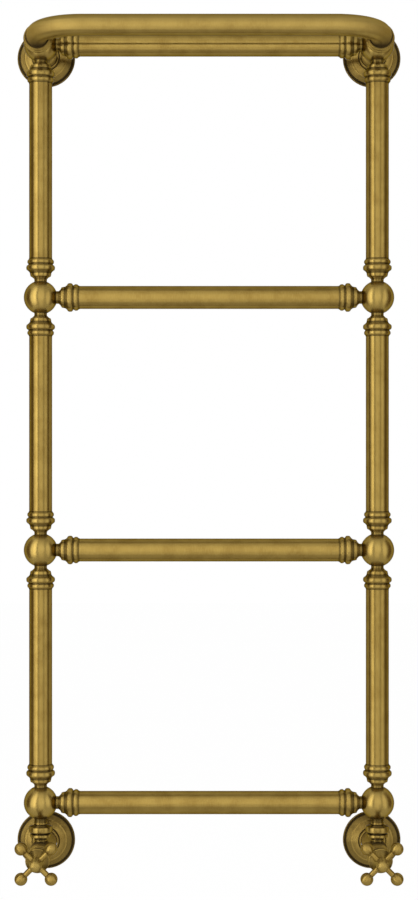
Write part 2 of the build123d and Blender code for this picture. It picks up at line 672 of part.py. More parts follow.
def cross_handle():
    """Bell-skirted hub with four ball-ended arms, bored for the spindle, screw and cap."""
    hub = turned([
        (BELL_BACK, 0),
        (BELL_BACK, BELL_RADIUS),
        (BELL_BACK + BELL_RIM, BELL_RADIUS),
        (BELL_FRONT, HUB_RADIUS),
        (HUB_FRONT, HUB_RADIUS),
        (HUB_FRONT, 0),
    ])
    arm = ball_ended_arm()
    for index in range(ARM_COUNT):
        angle = radians(360 * (index + 0.5) / ARM_COUNT)
        direction = (cos(angle), sin(angle), 0)
        hub += aimed(arm, (0, 0, ARM_PLANE), direction)
    mouth = BELL_RADIUS - BELL_WALL
    roof = GLAND_NUT_FRONT + BELL_RIM
    hollow = turned([
        (BELL_BACK, 0),
        (BELL_BACK, mouth),
        (BELL_BACK + BELL_RIM, mouth),
        (roof, GLAND_HEAD_RADIUS + BELL_WALL / 2),
        (roof, 0),
    ])
    socket_radius = SPINDLE_RADIUS + SOLDER_CLEARANCE
    web_front = HANDLE_SOCKET_FLOOR + HUB_WEB
    screw_hole = HANDLE_SCREW_RADIUS + SOLDER_CLEARANCE
    cap_hole = CAP_SPIGOT_RADIUS + SOLDER_CLEARANCE
    bores = turned([
        (BELL_BACK, 0),
        (BELL_BACK, socket_radius),
        (HANDLE_SOCKET_FLOOR, socket_radius),
        (HANDLE_SOCKET_FLOOR, screw_hole),
        (web_front, screw_hole),
        (web_front, cap_hole),
        (HUB_FRONT, cap_hole),
        (HUB_FRONT, 0),
    ])
    return hub - hollow - bores


def handle_screw():
    """Screw that pulls the handle on to the spindle."""
    head_back = HANDLE_SOCKET_FLOOR + HUB_WEB
    tip = HANDLE_SOCKET_FLOOR - HANDLE_SCREW_LENGTH
    head_front = head_back + SCREW_HEAD_LENGTH
    return turned([
        (tip, 0),
        (tip, HANDLE_SCREW_RADIUS),
        (head_back, HANDLE_SCREW_RADIUS),
        (head_back, SCREW_HEAD_RADIUS),
        (head_front, SCREW_HEAD_RADIUS),
        (head_front, 0),
    ])


def handle_cap():
    """Domed cap over the handle screw, its spigot pressed into the hub."""
    base = HUB_RADIUS - CAP_INSET
    sphere_radius = (base**2 + CAP_DOME**2) / (2 * CAP_DOME)
    edge = acos((sphere_radius - CAP_DOME) / sphere_radius)
    spigot_end = HUB_FRONT - CAP_SPIGOT_LENGTH
    centre = HUB_FRONT + CAP_DOME - sphere_radius
    profile = [(spigot_end, 0), (spigot_end, CAP_SPIGOT_RADIUS), (HUB_FRONT, CAP_SPIGOT_RADIUS)]
    for band in range(CAP_BANDS):
        angle = edge * (1 - band / CAP_BANDS)
        profile.append((centre + sphere_radius * cos(angle), sphere_radius * sin(angle)))
    profile.append((HUB_FRONT + CAP_DOME, 0))
    return turned(profile)


def vent_place(shape):
    """Place a shape modelled up from the seat on the upper left ball."""
    x, y, z = ball_centre(SIDES["left"], LEVEL_COUNT - 1)
    return Pos(x, y, z + SEAT_DISTANCE) * shape


def air_vent_body():
    """Hexagonal vent plug screwed into the ball, bored for the vent screw."""
    stem = Pos(0, 0, -VENT_DEPTH) * Cylinder(VENT_RADIUS, VENT_DEPTH, align=ON_BASE)
    bore = Cylinder(VENT_SCREW_RADIUS + RUNNING_CLEARANCE, 4 * VENT_DEPTH)
    return vent_place(stem + hexagon(VENT_HEX_FLATS, VENT_HEX_HEIGHT) - bore)


def air_vent_screw():
    """Slotted vent screw."""
    head_base = VENT_HEX_HEIGHT + VENT_HEAD_GAP
    head_top = head_base + VENT_HEAD_HEIGHT
    screw = turned([
        (-VENT_SCREW_DEPTH, 0),
        (-VENT_SCREW_DEPTH, VENT_SCREW_RADIUS),
        (head_base, VENT_SCREW_RADIUS),
        (head_base, VENT_HEAD_RADIUS),
        (head_top, VENT_HEAD_RADIUS),
        (head_top, 0),
    ])
    slot = Pos(0, 0, head_top) * Box(VENT_SLOT_WIDTH, 4 * VENT_HEAD_RADIUS, 2 * VENT_SLOT_DEPTH)
    return vent_place(screw - slot)


def frame_nodes():
    """Balls, collars, tubes and hoop."""
    levels = range(LEVEL_COUNT)
    top = LEVEL_COUNT - 1
    nodes = {"hoop_front": [hoop_front()]}
    for name, side in SIDES.items():
        nodes[f"ball_joints_{name}"] = [ball_joint(side, level) for level in levels]
        nodes[f"upright_collars_{name}"] = [
            collar_at(side, level, way) for level in levels for way in uprights_at(level)
        ]
        nodes[f"rail_collars_{name}"] = [collar_at(side, level, inwards(side)) for level in levels]
        for stage, stage_name in enumerate(STAGES):
            nodes[f"{stage_name}_upright_{name}"] = [upright_tube(side, stage)]
        nodes[f"hoop_bend_{name}"] = [hoop_bend(side)]
    nodes["hoop_collars"] = [collar_at(side, top, FORWARD, HOOP_RADIUS) for side in SIDES.values()]
    nodes["standoff_collars"] = [collar_at(side, top, BACK) for side in SIDES.values()]
    for level, name in enumerate(RAIL_NAMES):
        nodes[name] = [rail_tube(level)]
    return nodes


def wall_nodes():
    """Standoffs, wall plates, grub screws and rosettes."""
    sides = SIDES.values()
    return {
        "standoff_tubes": [standoff_tube(side) for side in sides],
        "wall_plates": [off_wall(side, TOP_LEVEL_Z, wall_plate()) for side in sides],
        "grub_screws": [grub_screw(side) for side in sides],
        "upper_rosettes": [off_wall(side, TOP_LEVEL_Z, rosette(TUBE_RADIUS)) for side in sides],
        "lower_rosettes": [off_wall(side, VALVE_Z, rosette(BARREL_RADIUS)) for side in sides],
    }


def valve_nodes():
    """Fixed parts of both valves, then each side's moving parts and the air vent."""
    nodes = {
        "valve_bodies": [whole_valve_body(side) for side in SIDES.values()],
        "inlet_nuts": both_sides(forward_from, inlet_nut()),
        "inlet_olives": both_sides(forward_from, inlet_olive()),
        "union_nuts": both_sides(above_valve, union_nut()),
        "union_tails": both_sides(above_valve, union_tail()),
        "union_washers": both_sides(above_valve, union_washer()),
        "bonnets": both_sides(forward_from, bonnet()),
        "gland_nuts": both_sides(forward_from, gland_nut()),
        "gland_packings": both_sides(forward_from, gland_packing()),
        "air_vent_body": [air_vent_body()],
        "air_vent_screw": [air_vent_screw()],
    }
    for name, side in SIDES.items():
        nodes[f"spindle_{name}"] = [forward_from(side, spindle())]
        nodes[f"disc_holder_{name}"] = [forward_from(side, disc_holder())]
        nodes[f"disc_washer_{name}"] = [forward_from(side, disc_washer())]
        nodes[f"cross_handle_{name}"] = [forward_from(side, cross_handle())]
        nodes[f"handle_screw_{name}"] = [forward_from(side, handle_screw())]
        nodes[f"handle_cap_{name}"] = [forward_from(side, handle_cap())]
    return nodes


os.makedirs("parts", exist_ok=True)
for node_name, solids in {**frame_nodes(), **wall_nodes(), **valve_nodes()}.items():
    export_step(Compound(children=solids), f"parts/{node_name}.step")
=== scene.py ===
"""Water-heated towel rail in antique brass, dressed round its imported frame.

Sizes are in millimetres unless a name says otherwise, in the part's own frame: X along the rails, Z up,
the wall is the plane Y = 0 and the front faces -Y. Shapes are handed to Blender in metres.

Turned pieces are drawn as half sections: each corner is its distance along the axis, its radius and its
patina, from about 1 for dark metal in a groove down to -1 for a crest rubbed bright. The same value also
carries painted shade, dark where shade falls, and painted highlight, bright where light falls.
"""

import json
import logging
import math
from dataclasses import dataclass, field
from enum import Enum

import bmesh
import bpy
from mathutils import Matrix, Vector
from mathutils.kdtree import KDTree


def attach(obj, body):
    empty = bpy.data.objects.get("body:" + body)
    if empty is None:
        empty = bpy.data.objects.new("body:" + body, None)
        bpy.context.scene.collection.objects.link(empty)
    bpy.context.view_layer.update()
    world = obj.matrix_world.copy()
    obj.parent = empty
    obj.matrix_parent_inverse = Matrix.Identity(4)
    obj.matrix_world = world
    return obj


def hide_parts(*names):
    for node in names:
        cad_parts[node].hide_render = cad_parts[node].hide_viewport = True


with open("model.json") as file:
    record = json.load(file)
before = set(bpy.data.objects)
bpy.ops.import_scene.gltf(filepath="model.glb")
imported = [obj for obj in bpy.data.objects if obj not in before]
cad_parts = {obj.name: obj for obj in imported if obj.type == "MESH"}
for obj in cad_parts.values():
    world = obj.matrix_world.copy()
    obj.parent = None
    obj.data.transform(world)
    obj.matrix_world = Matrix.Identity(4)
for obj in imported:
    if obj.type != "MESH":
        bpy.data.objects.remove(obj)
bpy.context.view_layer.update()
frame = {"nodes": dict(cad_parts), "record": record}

MM = 0.001
# Per-corner value that darkens or brightens the brass: real patina and wear, and also painted shade and
# painted highlight.
PATINA_AND_PAINTED_LIGHT = "patina"
LAY = "lay"
SHARP_ANGLE = math.radians(33)
log = logging.getLogger("towel_rail")
Span = tuple[float, float]
Point = tuple[float, float, float]
Colour = tuple[float, float, float]
Socket = bpy.types.NodeSocket


class Side(Enum):
    """The two uprights, seen from the front."""

    LEFT = -1
    RIGHT = 1

    @property
    def label(self) -> str:
        """Name of the side as the nodes spell it."""
        return self.name.lower()


class Way(Enum):
    """Directions in which a turned piece can point."""

    UP = (0.0, 0.0, 1.0)
    DOWN = (0.0, 0.0, -1.0)
    LEFT = (-1.0, 0.0, 0.0)
    RIGHT = (1.0, 0.0, 0.0)
    FORWARD = (0.0, -1.0, 0.0)
    BACK = (0.0, 1.0, 0.0)


def aimed(origin: Point, way: Way) -> Matrix:
    """Give the place of a piece that is modelled along Z.

    Args:
        origin: Where the piece's own origin goes.
        way: Where its Z axis points.

    Returns:
        The matrix, in millimetres.
    """
    axis = Vector(way.value)
    beside = Vector((1, 0, 0)) if abs(axis.x) < 0.5 else Vector((0, 0, 1))
    third = axis.cross(beside)
    turn = Matrix((beside, third, axis)).transposed().to_4x4()
    return Matrix.Translation(origin) @ turn


@dataclass
class Stock:
    """Loose metal before it becomes an object.

    Each corner has its patina, which also carries painted shade and painted highlight, and its lay: the way
    along the skin and across the brush marks, long where they are deep.
    """

    corners: list[Vector] = field(default_factory=list)
    faces: list[tuple[int, ...]] = field(default_factory=list)
    patina: list[float] = field(default_factory=list)
    lay: list[Vector] = field(default_factory=list)

    def placed(self, place: Matrix) -> "Stock":
        """Give a copy moved by a matrix.

        Args:
            place: Where the copy goes.

        Returns:
            The copy, its lay turned with it.
        """
        turn = place.to_3x3()
        corners = [place @ corner for corner in self.corners]
        return Stock(corners, list(self.faces), list(self.patina), [turn @ way for way in self.lay])

    def take(self, other: "Stock") -> None:
        """Add another stock to this one.

        Args:
            other: The stock to add; it stays as it is.
        """
        start = len(self.corners)
        self.corners += other.corners
        self.faces += [tuple(start + index for index in face) for face in other.faces]
        self.patina += other.patina
        self.lay += other.lay

    def mesh(self, name: str) -> bpy.types.Mesh:
        """Make the mesh, in metres, with its faces turned outwards.

        Args:
            name: Name of the new mesh.

        Returns:
            The mesh, with patina, painted light and lay as attributes of its corners.
        """
        data = bpy.data.meshes.new(name)
        data.from_pydata([corner * MM for corner in self.corners], [], self.faces)
        layer = data.attributes.new(PATINA_AND_PAINTED_LIGHT, "FLOAT", "POINT")
        layer.data.foreach_set("value", self.patina)
        layer = data.attributes.new(LAY, "FLOAT_VECTOR", "POINT")
        layer.data.foreach_set("vector", [part for way in self.lay for part in way])
        work = bmesh.new()
        work.from_mesh(data)
        bmesh.ops.recalc_face_normals(work, faces=work.faces)
        work.to_mesh(data)
        work.free()
        return data

    def piece(self, name: str) -> bpy.types.Object:
        """Make the object and link it to the scene.

        Args:
            name: Name of the object and its mesh.

        Returns:
            The linked object.
        """
        made = bpy.data.objects.new(name, self.mesh(name))
        bpy.context.scene.collection.objects.link(made)
        return made


@dataclass
class Turning:
    """Half section of a turned piece, drawn along its axis; bored pieces are drawn right round."""

    outline: list[tuple[float, float, float]] = field(default_factory=list)
    segments: int = 72
    brushing: float = 0.75

    def to(self, along: float, radius: float, patina: float = 0.0) -> "Turning":
        """Draw straight to a corner."""
        self.outline.append((along, radius, patina))
        return self

    def arc(self, along: float, radius: float, bow: float, patina: float = 0.0, steps: int = 10) -> "Turning":
        """Draw an arc from the last corner.

        Args:
            along: Where the arc ends, along the axis.
            radius: Radius at its end.
            bow: How far its middle stands off the straight line, positive away from the axis.
            patina: Patina at its end, painted shade and highlight included.
            steps: Number of straight runs that stand for it.

        Returns:
            This turning.
        """
        start = Vector(self.outline[-1][:2])
        end = Vector((along, radius))
        old = self.outline[-1][2]
        chord = end - start
        half = chord.length / 2
        out = Vector((-chord.y, chord.x)).normalized()
        round_radius = (half * half + bow * bow) / (2 * abs(bow))
        reach = math.asin(min(1.0, half / round_radius))
        if abs(bow) > half:
            reach = math.pi - reach
        sign = 1.0 if bow > 0 else -1.0
        for step in range(1, steps + 1):
            share = step / steps
            angle = reach * (2 * share - 1)
            flat = start + chord * (0.5 + 0.5 * math.sin(angle) / math.sin(reach))
            rise = round_radius * (math.cos(angle) - math.cos(reach))
            spot = flat + out * (sign * rise)
            self.outline.append((spot.x, max(spot.y, 0.0), old + (patina - old) * share))
        return self

    def run_at(self, step: int) -> Vector:
        """Find the way in which the outline runs through one of its corners.

        Args:
            step: Number of the corner.

        Returns:
            The way, as along the axis and outwards.
        """
        before = Vector(self.outline[max(step - 1, 0)][:2])
        after = Vector(self.outline[min(step + 1, len(self.outline) - 1)][:2])
        return (after - before).normalized()

    def stock(self) -> Stock:
        """Turn the section round its axis.

        Returns:
            The closed skin, along Z.
        """
        made = Stock()
        rings: list[list[int]] = []
        for step, (along, radius, patina) in enumerate(self.outline):
            count = 1 if radius < 1e-6 else self.segments
            start = len(made.corners)
            run = self.run_at(step)
            for index in range(count):
                angle = 2 * math.pi * index / self.segments
                out = Vector((math.cos(angle), math.sin(angle), 0))
                made.corners.append(out * radius + Vector((0, 0, along)))
                made.patina.append(patina)
                lay = out * run.y + Vector((0, 0, run.x))
                made.lay.append(lay * self.brushing if count > 1 else Vector())
            rings.append(list(range(start, start + count)))
        solid = self.outline[0][1] < 1e-6 and self.outline[-1][1] < 1e-6
        pairs = list(zip(rings, rings[1:]))
        if not solid:
            pairs.append((rings[-1], rings[0]))
        for low, high in pairs:
            for index in range(self.segments):
                after = (index + 1) % self.segments
                if len(low) == 1 and len(high) == 1:
                    break
                if len(low) == 1:
                    made.faces.append((low[0], high[after], high[index]))
                elif len(high) == 1:
                    made.faces.append((low[index], low[after], high[0]))
                else:
                    made.faces.append((low[index], low[after], high[after], high[index]))
        return made


def worked(made: bpy.types.Object, tools: list[bpy.types.Object], operation: str) -> None:
    """Work a piece with others, which are used up.

    Args:
        made: The piece that is changed.
        tools: The pieces that are joined to it or cut out of it.
        operation: Blender's name for what is done, UNION or DIFFERENCE.
    """
    for tool in tools:
        step = made.modifiers.new("step", "BOOLEAN")
        step.operation = operation
        step.solver = "EXACT"
        step.object = tool
    seen = made.evaluated_get(bpy.context.evaluated_depsgraph_get())
    whole = bpy.data.meshes.new_from_object(seen)
    made.modifiers.clear()
    made.data = whole
    for tool in tools:
        bpy.data.objects.remove(tool)


def fused(name: str, body: Stock, joined: list[Stock]) -> bpy.types.Object:
    """Join closed stocks into one skin, with nothing left inside.

    Args:
        name: Name of the new object.
        body: The stock the others grow out of.
        joined: Stocks that overlap it.

    Returns:
        The linked object.
    """
    made = body.piece(name)
    worked(made, [stock.piece(f"{name}_part") for stock in joined], "UNION")
    give_surface(made.data, [body, *joined])
    return made


def give_surface(data: bpy.types.Mesh, stocks: list[Stock]) -> None:
    """Give each corner of a joined mesh the patina, painted light included, and lay of the nearest corner it
    was made from.

    Args:
        data: The joined mesh.
        stocks: The stocks that it was joined from.
    """
    corners = [corner * MM for stock in stocks for corner in stock.corners]
    patina = [value for stock in stocks for value in stock.patina]
    lay = [way for stock in stocks for way in stock.lay]
    tree = KDTree(len(corners))
    for index, corner in enumerate(corners):
        tree.insert(corner, index)
    tree.balance()
    for name in (PATINA_AND_PAINTED_LIGHT, LAY):
        old = data.attributes.get(name)
        if old:
            data.attributes.remove(old)
    nearest = [tree.find(vertex.co)[1] for vertex in data.vertices]
    layer = data.attributes.new(PATINA_AND_PAINTED_LIGHT, "FLOAT", "POINT")
    layer.data.foreach_set("value", [patina[index] for index in nearest])
    layer = data.attributes.new(LAY, "FLOAT_VECTOR", "POINT")
    layer.data.foreach_set("vector", [part for index in nearest for part in lay[index]])


class NodeBench:
    """Short way to lay out one material's nodes."""

    def __init__(self, name: str) -> None:
        """Start a material that has only its shader and its output.

        Args:
            name: Name of the material.
        """
        self.material = bpy.data.materials.new(name)
        self.material.use_nodes = True
        self.tree = self.material.node_tree
        self.tree.nodes.clear()
        self.output = self.add("ShaderNodeOutputMaterial")
        self.shader = self.add("ShaderNodeBsdfPrincipled")
        self.join(self.shader.outputs["BSDF"], self.output.inputs["Surface"])

    def add(self, kind: str, **settings: object) -> bpy.types.Node:
        """Add a node.

        Args:
            kind: Blender's name for the kind of node.
            settings: Plain properties to set on it.

        Returns:
            The new node.
        """
        node = self.tree.nodes.new(kind)
        for key, value in settings.items():
            setattr(node, key, value)
        return node

    def join(self, source: Socket, target: Socket) -> None:
        """Link two sockets."""
        self.tree.links.new(source, target)

    def noise(self, place: Socket, scale: float, detail: float = 3.0) -> Socket:
        """Add a noise texture.

        Args:
            place: Where the noise is read.
            scale: How fine it is.
            detail: How many finer layers it has.

        Returns:
            The noise's value.
        """
        node = self.add("ShaderNodeTexNoise")
        node.inputs["Scale"].default_value = scale
        node.inputs["Detail"].default_value = detail
        self.join(place, node.inputs["Vector"])
        return node.outputs["Fac"]

    def stretched(self, place: Socket, turn: Point, scale: Point) -> Socket:
        """Turn and stretch a place.

        Args:
            place: The place to change.
            turn: Turn about each axis, in radians.
            scale: Stretch along each axis.

        Returns:
            The changed place.
        """
        node = self.add("ShaderNodeMapping")
        node.inputs["Rotation"].default_value = turn
        node.inputs["Scale"].default_value = scale
        self.join(place, node.inputs["Vector"])
        return node.outputs["Vector"]

    def spread(self, value: Socket, source: Span, target: Span) -> Socket:
        """Map a value from one range to another, and no further.

        Args:
            value: The value to map.
            source: First and last number of the range it comes from.
            target: First and last number of the range it goes to.

        Returns:
            The mapped value.
        """
        node = self.add("ShaderNodeMapRange")
        names = ("From Min", "From Max", "To Min", "To Max")
        for name, number in zip(names, (*source, *target)):
            node.inputs[name].default_value = number
        self.join(value, node.inputs["Value"])
        return node.outputs["Result"]

    def sum(self, first: Socket, second: Socket) -> Socket:
        """Add two values.

        Args:
            first: One value.
            second: The other value.

        Returns:
            Their sum.
        """
        node = self.add("ShaderNodeMath", operation="ADD")
        self.join(first, node.inputs[0])
        self.join(second, node.inputs[1])
        return node.outputs[0]

    def blend(self, share: Socket, first: Socket | Colour, second: Colour) -> Socket:
        """Mix towards a second colour.

        Args:
            share: How much of the second colour there is.
            first: The first colour.
            second: The second colour.

        Returns:
            The mixed colour.
        """
        node = self.add("ShaderNodeMix", data_type="RGBA")
        self.join(share, node.inputs["Factor"])
        if isinstance(first, tuple):
            node.inputs["A"].default_value = (*first, 1.0)
        else:
            self.join(first, node.inputs["A"])
        node.inputs["B"].default_value = (*second, 1.0)
        return node.outputs["Result"]

    def lay_length(self, lay: Socket) -> Socket:
        """Measure how deep the brush marks are.

        Args:
            lay: The lay's vector.

        Returns:
            Its length, 0 where the metal is polished.
        """
        node = self.add("ShaderNodeVectorMath", operation="LENGTH")
        self.join(lay, node.inputs[0])
        return node.outputs["Value"]

    def lay_direction(self, lay: Socket) -> Socket:
        """Turn the lay with its object, never leaving it without a direction.

        Args:
            lay: The lay's vector.

        Returns:
            The lay in the room's own axes.
        """
        steady = self.add("ShaderNodeVectorMath", operation="ADD")
        steady.inputs[1].default_value = (0.001, 0.002, 0.003)
        self.join(lay, steady.inputs[0])
        turned = self.add("ShaderNodeVectorTransform", vector_type="VECTOR")
        turned.convert_from = "OBJECT"
        turned.convert_to = "WORLD"
        self.join(steady.outputs["Vector"], turned.inputs["Vector"])
        return turned.outputs["Vector"]

    def bump(self, height: Socket, distance: float, strength: float) -> None:
        """Raise the surface by a height.

        Args:
            height: The height's value.
            distance: How far a height of 1 raises it, in metres.
            strength: Share of that rise that is shown.
        """
        node = self.add("ShaderNodeBump")
        node.inputs["Distance"].default_value = distance
        node.inputs["Strength"].default_value = strength
        self.join(height, node.inputs["Height"])
        self.join(node.outputs["Normal"], self.shader.inputs["Normal"])


@dataclass(frozen=True)
class AntiqueBrass:
    """Brushed brass with a brown patina left in its grooves and rubbed off its crests; the same darkening and
    brightening also paints shade and highlights.
    """

    name: str = "antique_brass"
    base: Colour = (0.252, 0.169, 0.041)
    cloud: Colour = (0.205, 0.129, 0.028)
    # Colour of rubbed crests, also used for painted highlights.
    rubbed: Colour = (0.295, 0.211, 0.061)
    # Colour of dark grooves, also used for painted shade.
    dark: Colour = (0.040, 0.026, 0.009)
    edge: Colour = (0.40, 0.37, 0.33)
    roughness: Span = (0.16, 0.24)
    groove_roughness: float = 0.20
    brushed_roughness: float = 0.18
    brushed_pull: float = 0.97
    deep_lay: float = 0.75
    cloud_scale: float = 60.0
    cloud_share: float = 0.75
    grain_scale: float = 1100.0
    brush_angle: float = 0.61
    brush_stretch: Point = (1500.0, 900.0, 110.0)
    scratch_share: float = 0.42
    crest_share: float = 0.8
    groove_span: Span = (0.08, 0.95)
    groove_fray: Span = (-0.06, 0.06)
    bump_distance: float = 0.00003
    bump_strength: float = 0.10

    def material(self) -> bpy.types.Material:
        """Lay out the nodes.

        Returns:
            The finished material.
        """
        bench = NodeBench(self.name)
        place = bench.add("ShaderNodeTexCoord").outputs["Object"]
        cloud = bench.noise(place, self.cloud_scale, 5.0)
        grain = bench.noise(place, self.grain_scale, 2.0)
        strokes = [
            bench.noise(bench.stretched(place, (0.0, angle, 0.0), self.brush_stretch), 1.0, 2.0)
            for angle in (self.brush_angle, -self.brush_angle)
        ]
        brushed = bench.sum(*strokes)
        clouded = bench.spread(cloud, (0.42, 0.70), (0.0, self.cloud_share))
        colour = bench.blend(clouded, self.base, self.cloud)
        scratched = bench.spread(brushed, (0.92, 1.25), (0.0, self.scratch_share))
        colour = bench.blend(scratched, colour, self.rubbed)
        # Painted shade and painted highlight ride on this value: groove darkens painted shade as it darkens
        # grooves, and crest brightens painted highlights in the rubbed colour as it brightens crests.
        kept = bench.add("ShaderNodeAttribute", attribute_name=PATINA_AND_PAINTED_LIGHT).outputs["Fac"]
        crest = bench.spread(kept, (0.0, -1.0), (0.0, self.crest_share))
        colour = bench.blend(crest, colour, self.rubbed)
        frayed = bench.sum(kept, bench.spread(grain, (0.3, 0.7), self.groove_fray))
        groove = bench.spread(frayed, self.groove_span, (0.0, 1.0))
        colour = bench.blend(groove, colour, self.dark)
        bench.join(colour, bench.shader.inputs["Base Color"])
        bench.shader.inputs["Metallic"].default_value = 1.0
        bench.shader.inputs["Specular Tint"].default_value = (*self.edge, 1.0)
        matt = bench.spread(cloud, (0.3, 0.75), self.roughness)
        lay = bench.add("ShaderNodeAttribute", attribute_name=LAY).outputs["Vector"]
        laid = bench.lay_length(lay)
        bench.join(bench.lay_direction(lay), bench.shader.inputs["Tangent"])
        pull = bench.spread(laid, (0.0, self.deep_lay), (0.0, self.brushed_pull))
        bench.join(pull, bench.shader.inputs["Anisotropic"])
        matt = bench.sum(matt, bench.spread(laid, (0.0, 1.0), (0.0, self.brushed_roughness)))
        rough = bench.sum(matt, bench.spread(groove, (0.0, 1.0), (0.0, self.groove_roughness)))
        bench.join(rough, bench.shader.inputs["Roughness"])
        height = bench.sum(brushed, bench.spread(grain, (0.0, 1.0), (0.0, 0.5)))
        bench.bump(height, self.bump_distance, self.bump_strength)
        return bench.material


@dataclass(frozen=True)
class PlainFinish:
    """Plain turned or moulded surface of a piece that the brass hides."""

    name: str
    base: Colour
    marks: Colour
    metallic: float
    roughness: Span
    scale: float = 500.0
    marks_share: float = 0.7
    bump_distance: float = 0.00004
    bump_strength: float = 0.25

    def material(self) -> bpy.types.Material:
        """Lay out the nodes.

        Returns:
            The finished material.
        """
        bench = NodeBench(self.name)
        place = bench.add("ShaderNodeTexCoord").outputs["Object"]
        marks = bench.noise(place, self.scale, 4.0)
        marked = bench.spread(marks, (0.35, 0.7), (0.0, self.marks_share))
        colour = bench.blend(marked, self.base, self.marks)
        bench.join(colour, bench.shader.inputs["Base Color"])
        bench.shader.inputs["Metallic"].default_value = self.metallic
        bench.join(bench.spread(marks, (0.3, 0.7), self.roughness), bench.shader.inputs["Roughness"])
        bench.bump(marks, self.bump_distance, self.bump_strength)
        return bench.material


@dataclass(frozen=True)
class Finishes:
    """Every finish on the rail, by the record's slot names."""

    brass: AntiqueBrass = AntiqueBrass()
    plain: tuple[PlainFinish, ...] = (
        PlainFinish("plain_brass", (0.46, 0.33, 0.12), (0.34, 0.23, 0.08), 1.0, (0.26, 0.40)),
        PlainFinish("steel", (0.42, 0.41, 0.40), (0.27, 0.26, 0.26), 1.0, (0.28, 0.45)),
        PlainFinish("rubber", (0.020, 0.020, 0.021), (0.035, 0.034, 0.034), 0.0, (0.62, 0.85)),
        PlainFinish("fibre", (0.30, 0.055, 0.035), (0.18, 0.035, 0.022), 0.0, (0.70, 0.90)),
    )

    def materials(self) -> dict[str, bpy.types.Material]:
        """Make every material once.

        Returns:
            The materials, by the record's slot names.
        """
        made = {self.brass.name: self.brass.material()}
        made.update({finish.name: finish.material() for finish in self.plain})
        return made


class Dresser:
    """Gives pieces their finish, their body and the node they stand for."""

    def __init__(self) -> None:
        """Make the materials and read which slot and body each node has."""
        self.materials = Finishes().materials()
        record = frame["record"]
        self.slots = {entry["node"]: entry["material_slot"] for entry in record["subparts"]}
        bodies = record["behaviour"]["bodies"]
        self.body_of = {node: body for body, nodes in bodies.items() for node in nodes}
        self.replaced: set[str] = set()

    def dress(self, piece: bpy.types.Object, *nodes: str) -> None:
        """Finish a piece and let it stand for one or more nodes of one body.

        Args:
            piece: The new piece, in place.
            nodes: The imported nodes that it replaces.
        """
        node = nodes[0]
        data = piece.data
        data.shade_smooth()
        data.set_sharp_from_angle(angle=SHARP_ANGLE)
        data.materials.clear()
        data.materials.append(self.materials[self.slots[node]])
        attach(piece, self.body_of[node])
        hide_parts(*nodes)
        self.replaced.update(nodes)
        log.info("%s stands for %s, %d faces", piece.name, ", ".join(nodes), len(data.polygons))

    def dress_the_rest(self) -> None:
        """Give every node that still shows its finish."""
        for node, shown in frame["nodes"].items():
            if node in self.replaced:
                continue
            material = self.materials[self.slots[node]]
            if not shown.material_slots:
                shown.data.materials.append(material)
            for slot in shown.material_slots:
                slot.material = material
            log.info("%s keeps its own shape in %s", node, self.slots[node])


@dataclass(frozen=True)
class RailPlan:
    """Main dimensions that the sub-assemblies share."""

    centres: float = 400.0
    pitch: float = 300.0
    levels: int = 4
    wall_distance: float = 80.0
    valve_drop: float = 60.0
    tube_radius: float = 13.65
    tube_wall: float = 1.5
    tube_end: float = 32.1
    socket_depth: float = 14.0
    hoop_radius: float = 12.18
    seat: float = 18.4

    def level_z(self, level: int) -> float:
        """Height of one level, counted up from the lowest."""
        return -(self.levels - 1 - level) * self.pitch

    def valve_z(self) -> float:
        """Height of the valves' axes."""
        return self.level_z(0) - self.valve_drop

    def upright(self, side: Side, z: float, y: float | None = None) -> Point:
        """Point on an upright's axis, or straight behind or in front of it."""
        return (side.value * self.centres / 2, -self.wall_distance if y is None else y, z)

    def pair(self, one: Stock, z: float, way: Way, y: float | None = None) -> Stock:
        """Repeat one piece at both uprights.

        Args:
            one: The piece, along Z.
            z: Height of its origin.
            way: Where its Z axis points.
            y: How far forward or back its origin is; the uprights' own place if left out.

        Returns:
            Both pieces as one stock.
        """
        both = Stock()
        for side in Side:
            both.take(one.placed(aimed(self.upright(side, z, y), way)))
        return both

    def inwards(self, side: Side) -> Way:
        """Way from one upright to the other."""
        return Way.RIGHT if side is Side.LEFT else Way.LEFT

    def upright_ways(self, level: int) -> list[Way]:
        """List the ways in which upright tubes leave a level.

        Args:
            level: The level, counted up from the lowest.

        Returns:
            One way or two.
        """
        if level == 0:
            return [Way.UP]
        if level == self.levels - 1:
            return [Way.DOWN]
        return [Way.UP, Way.DOWN]


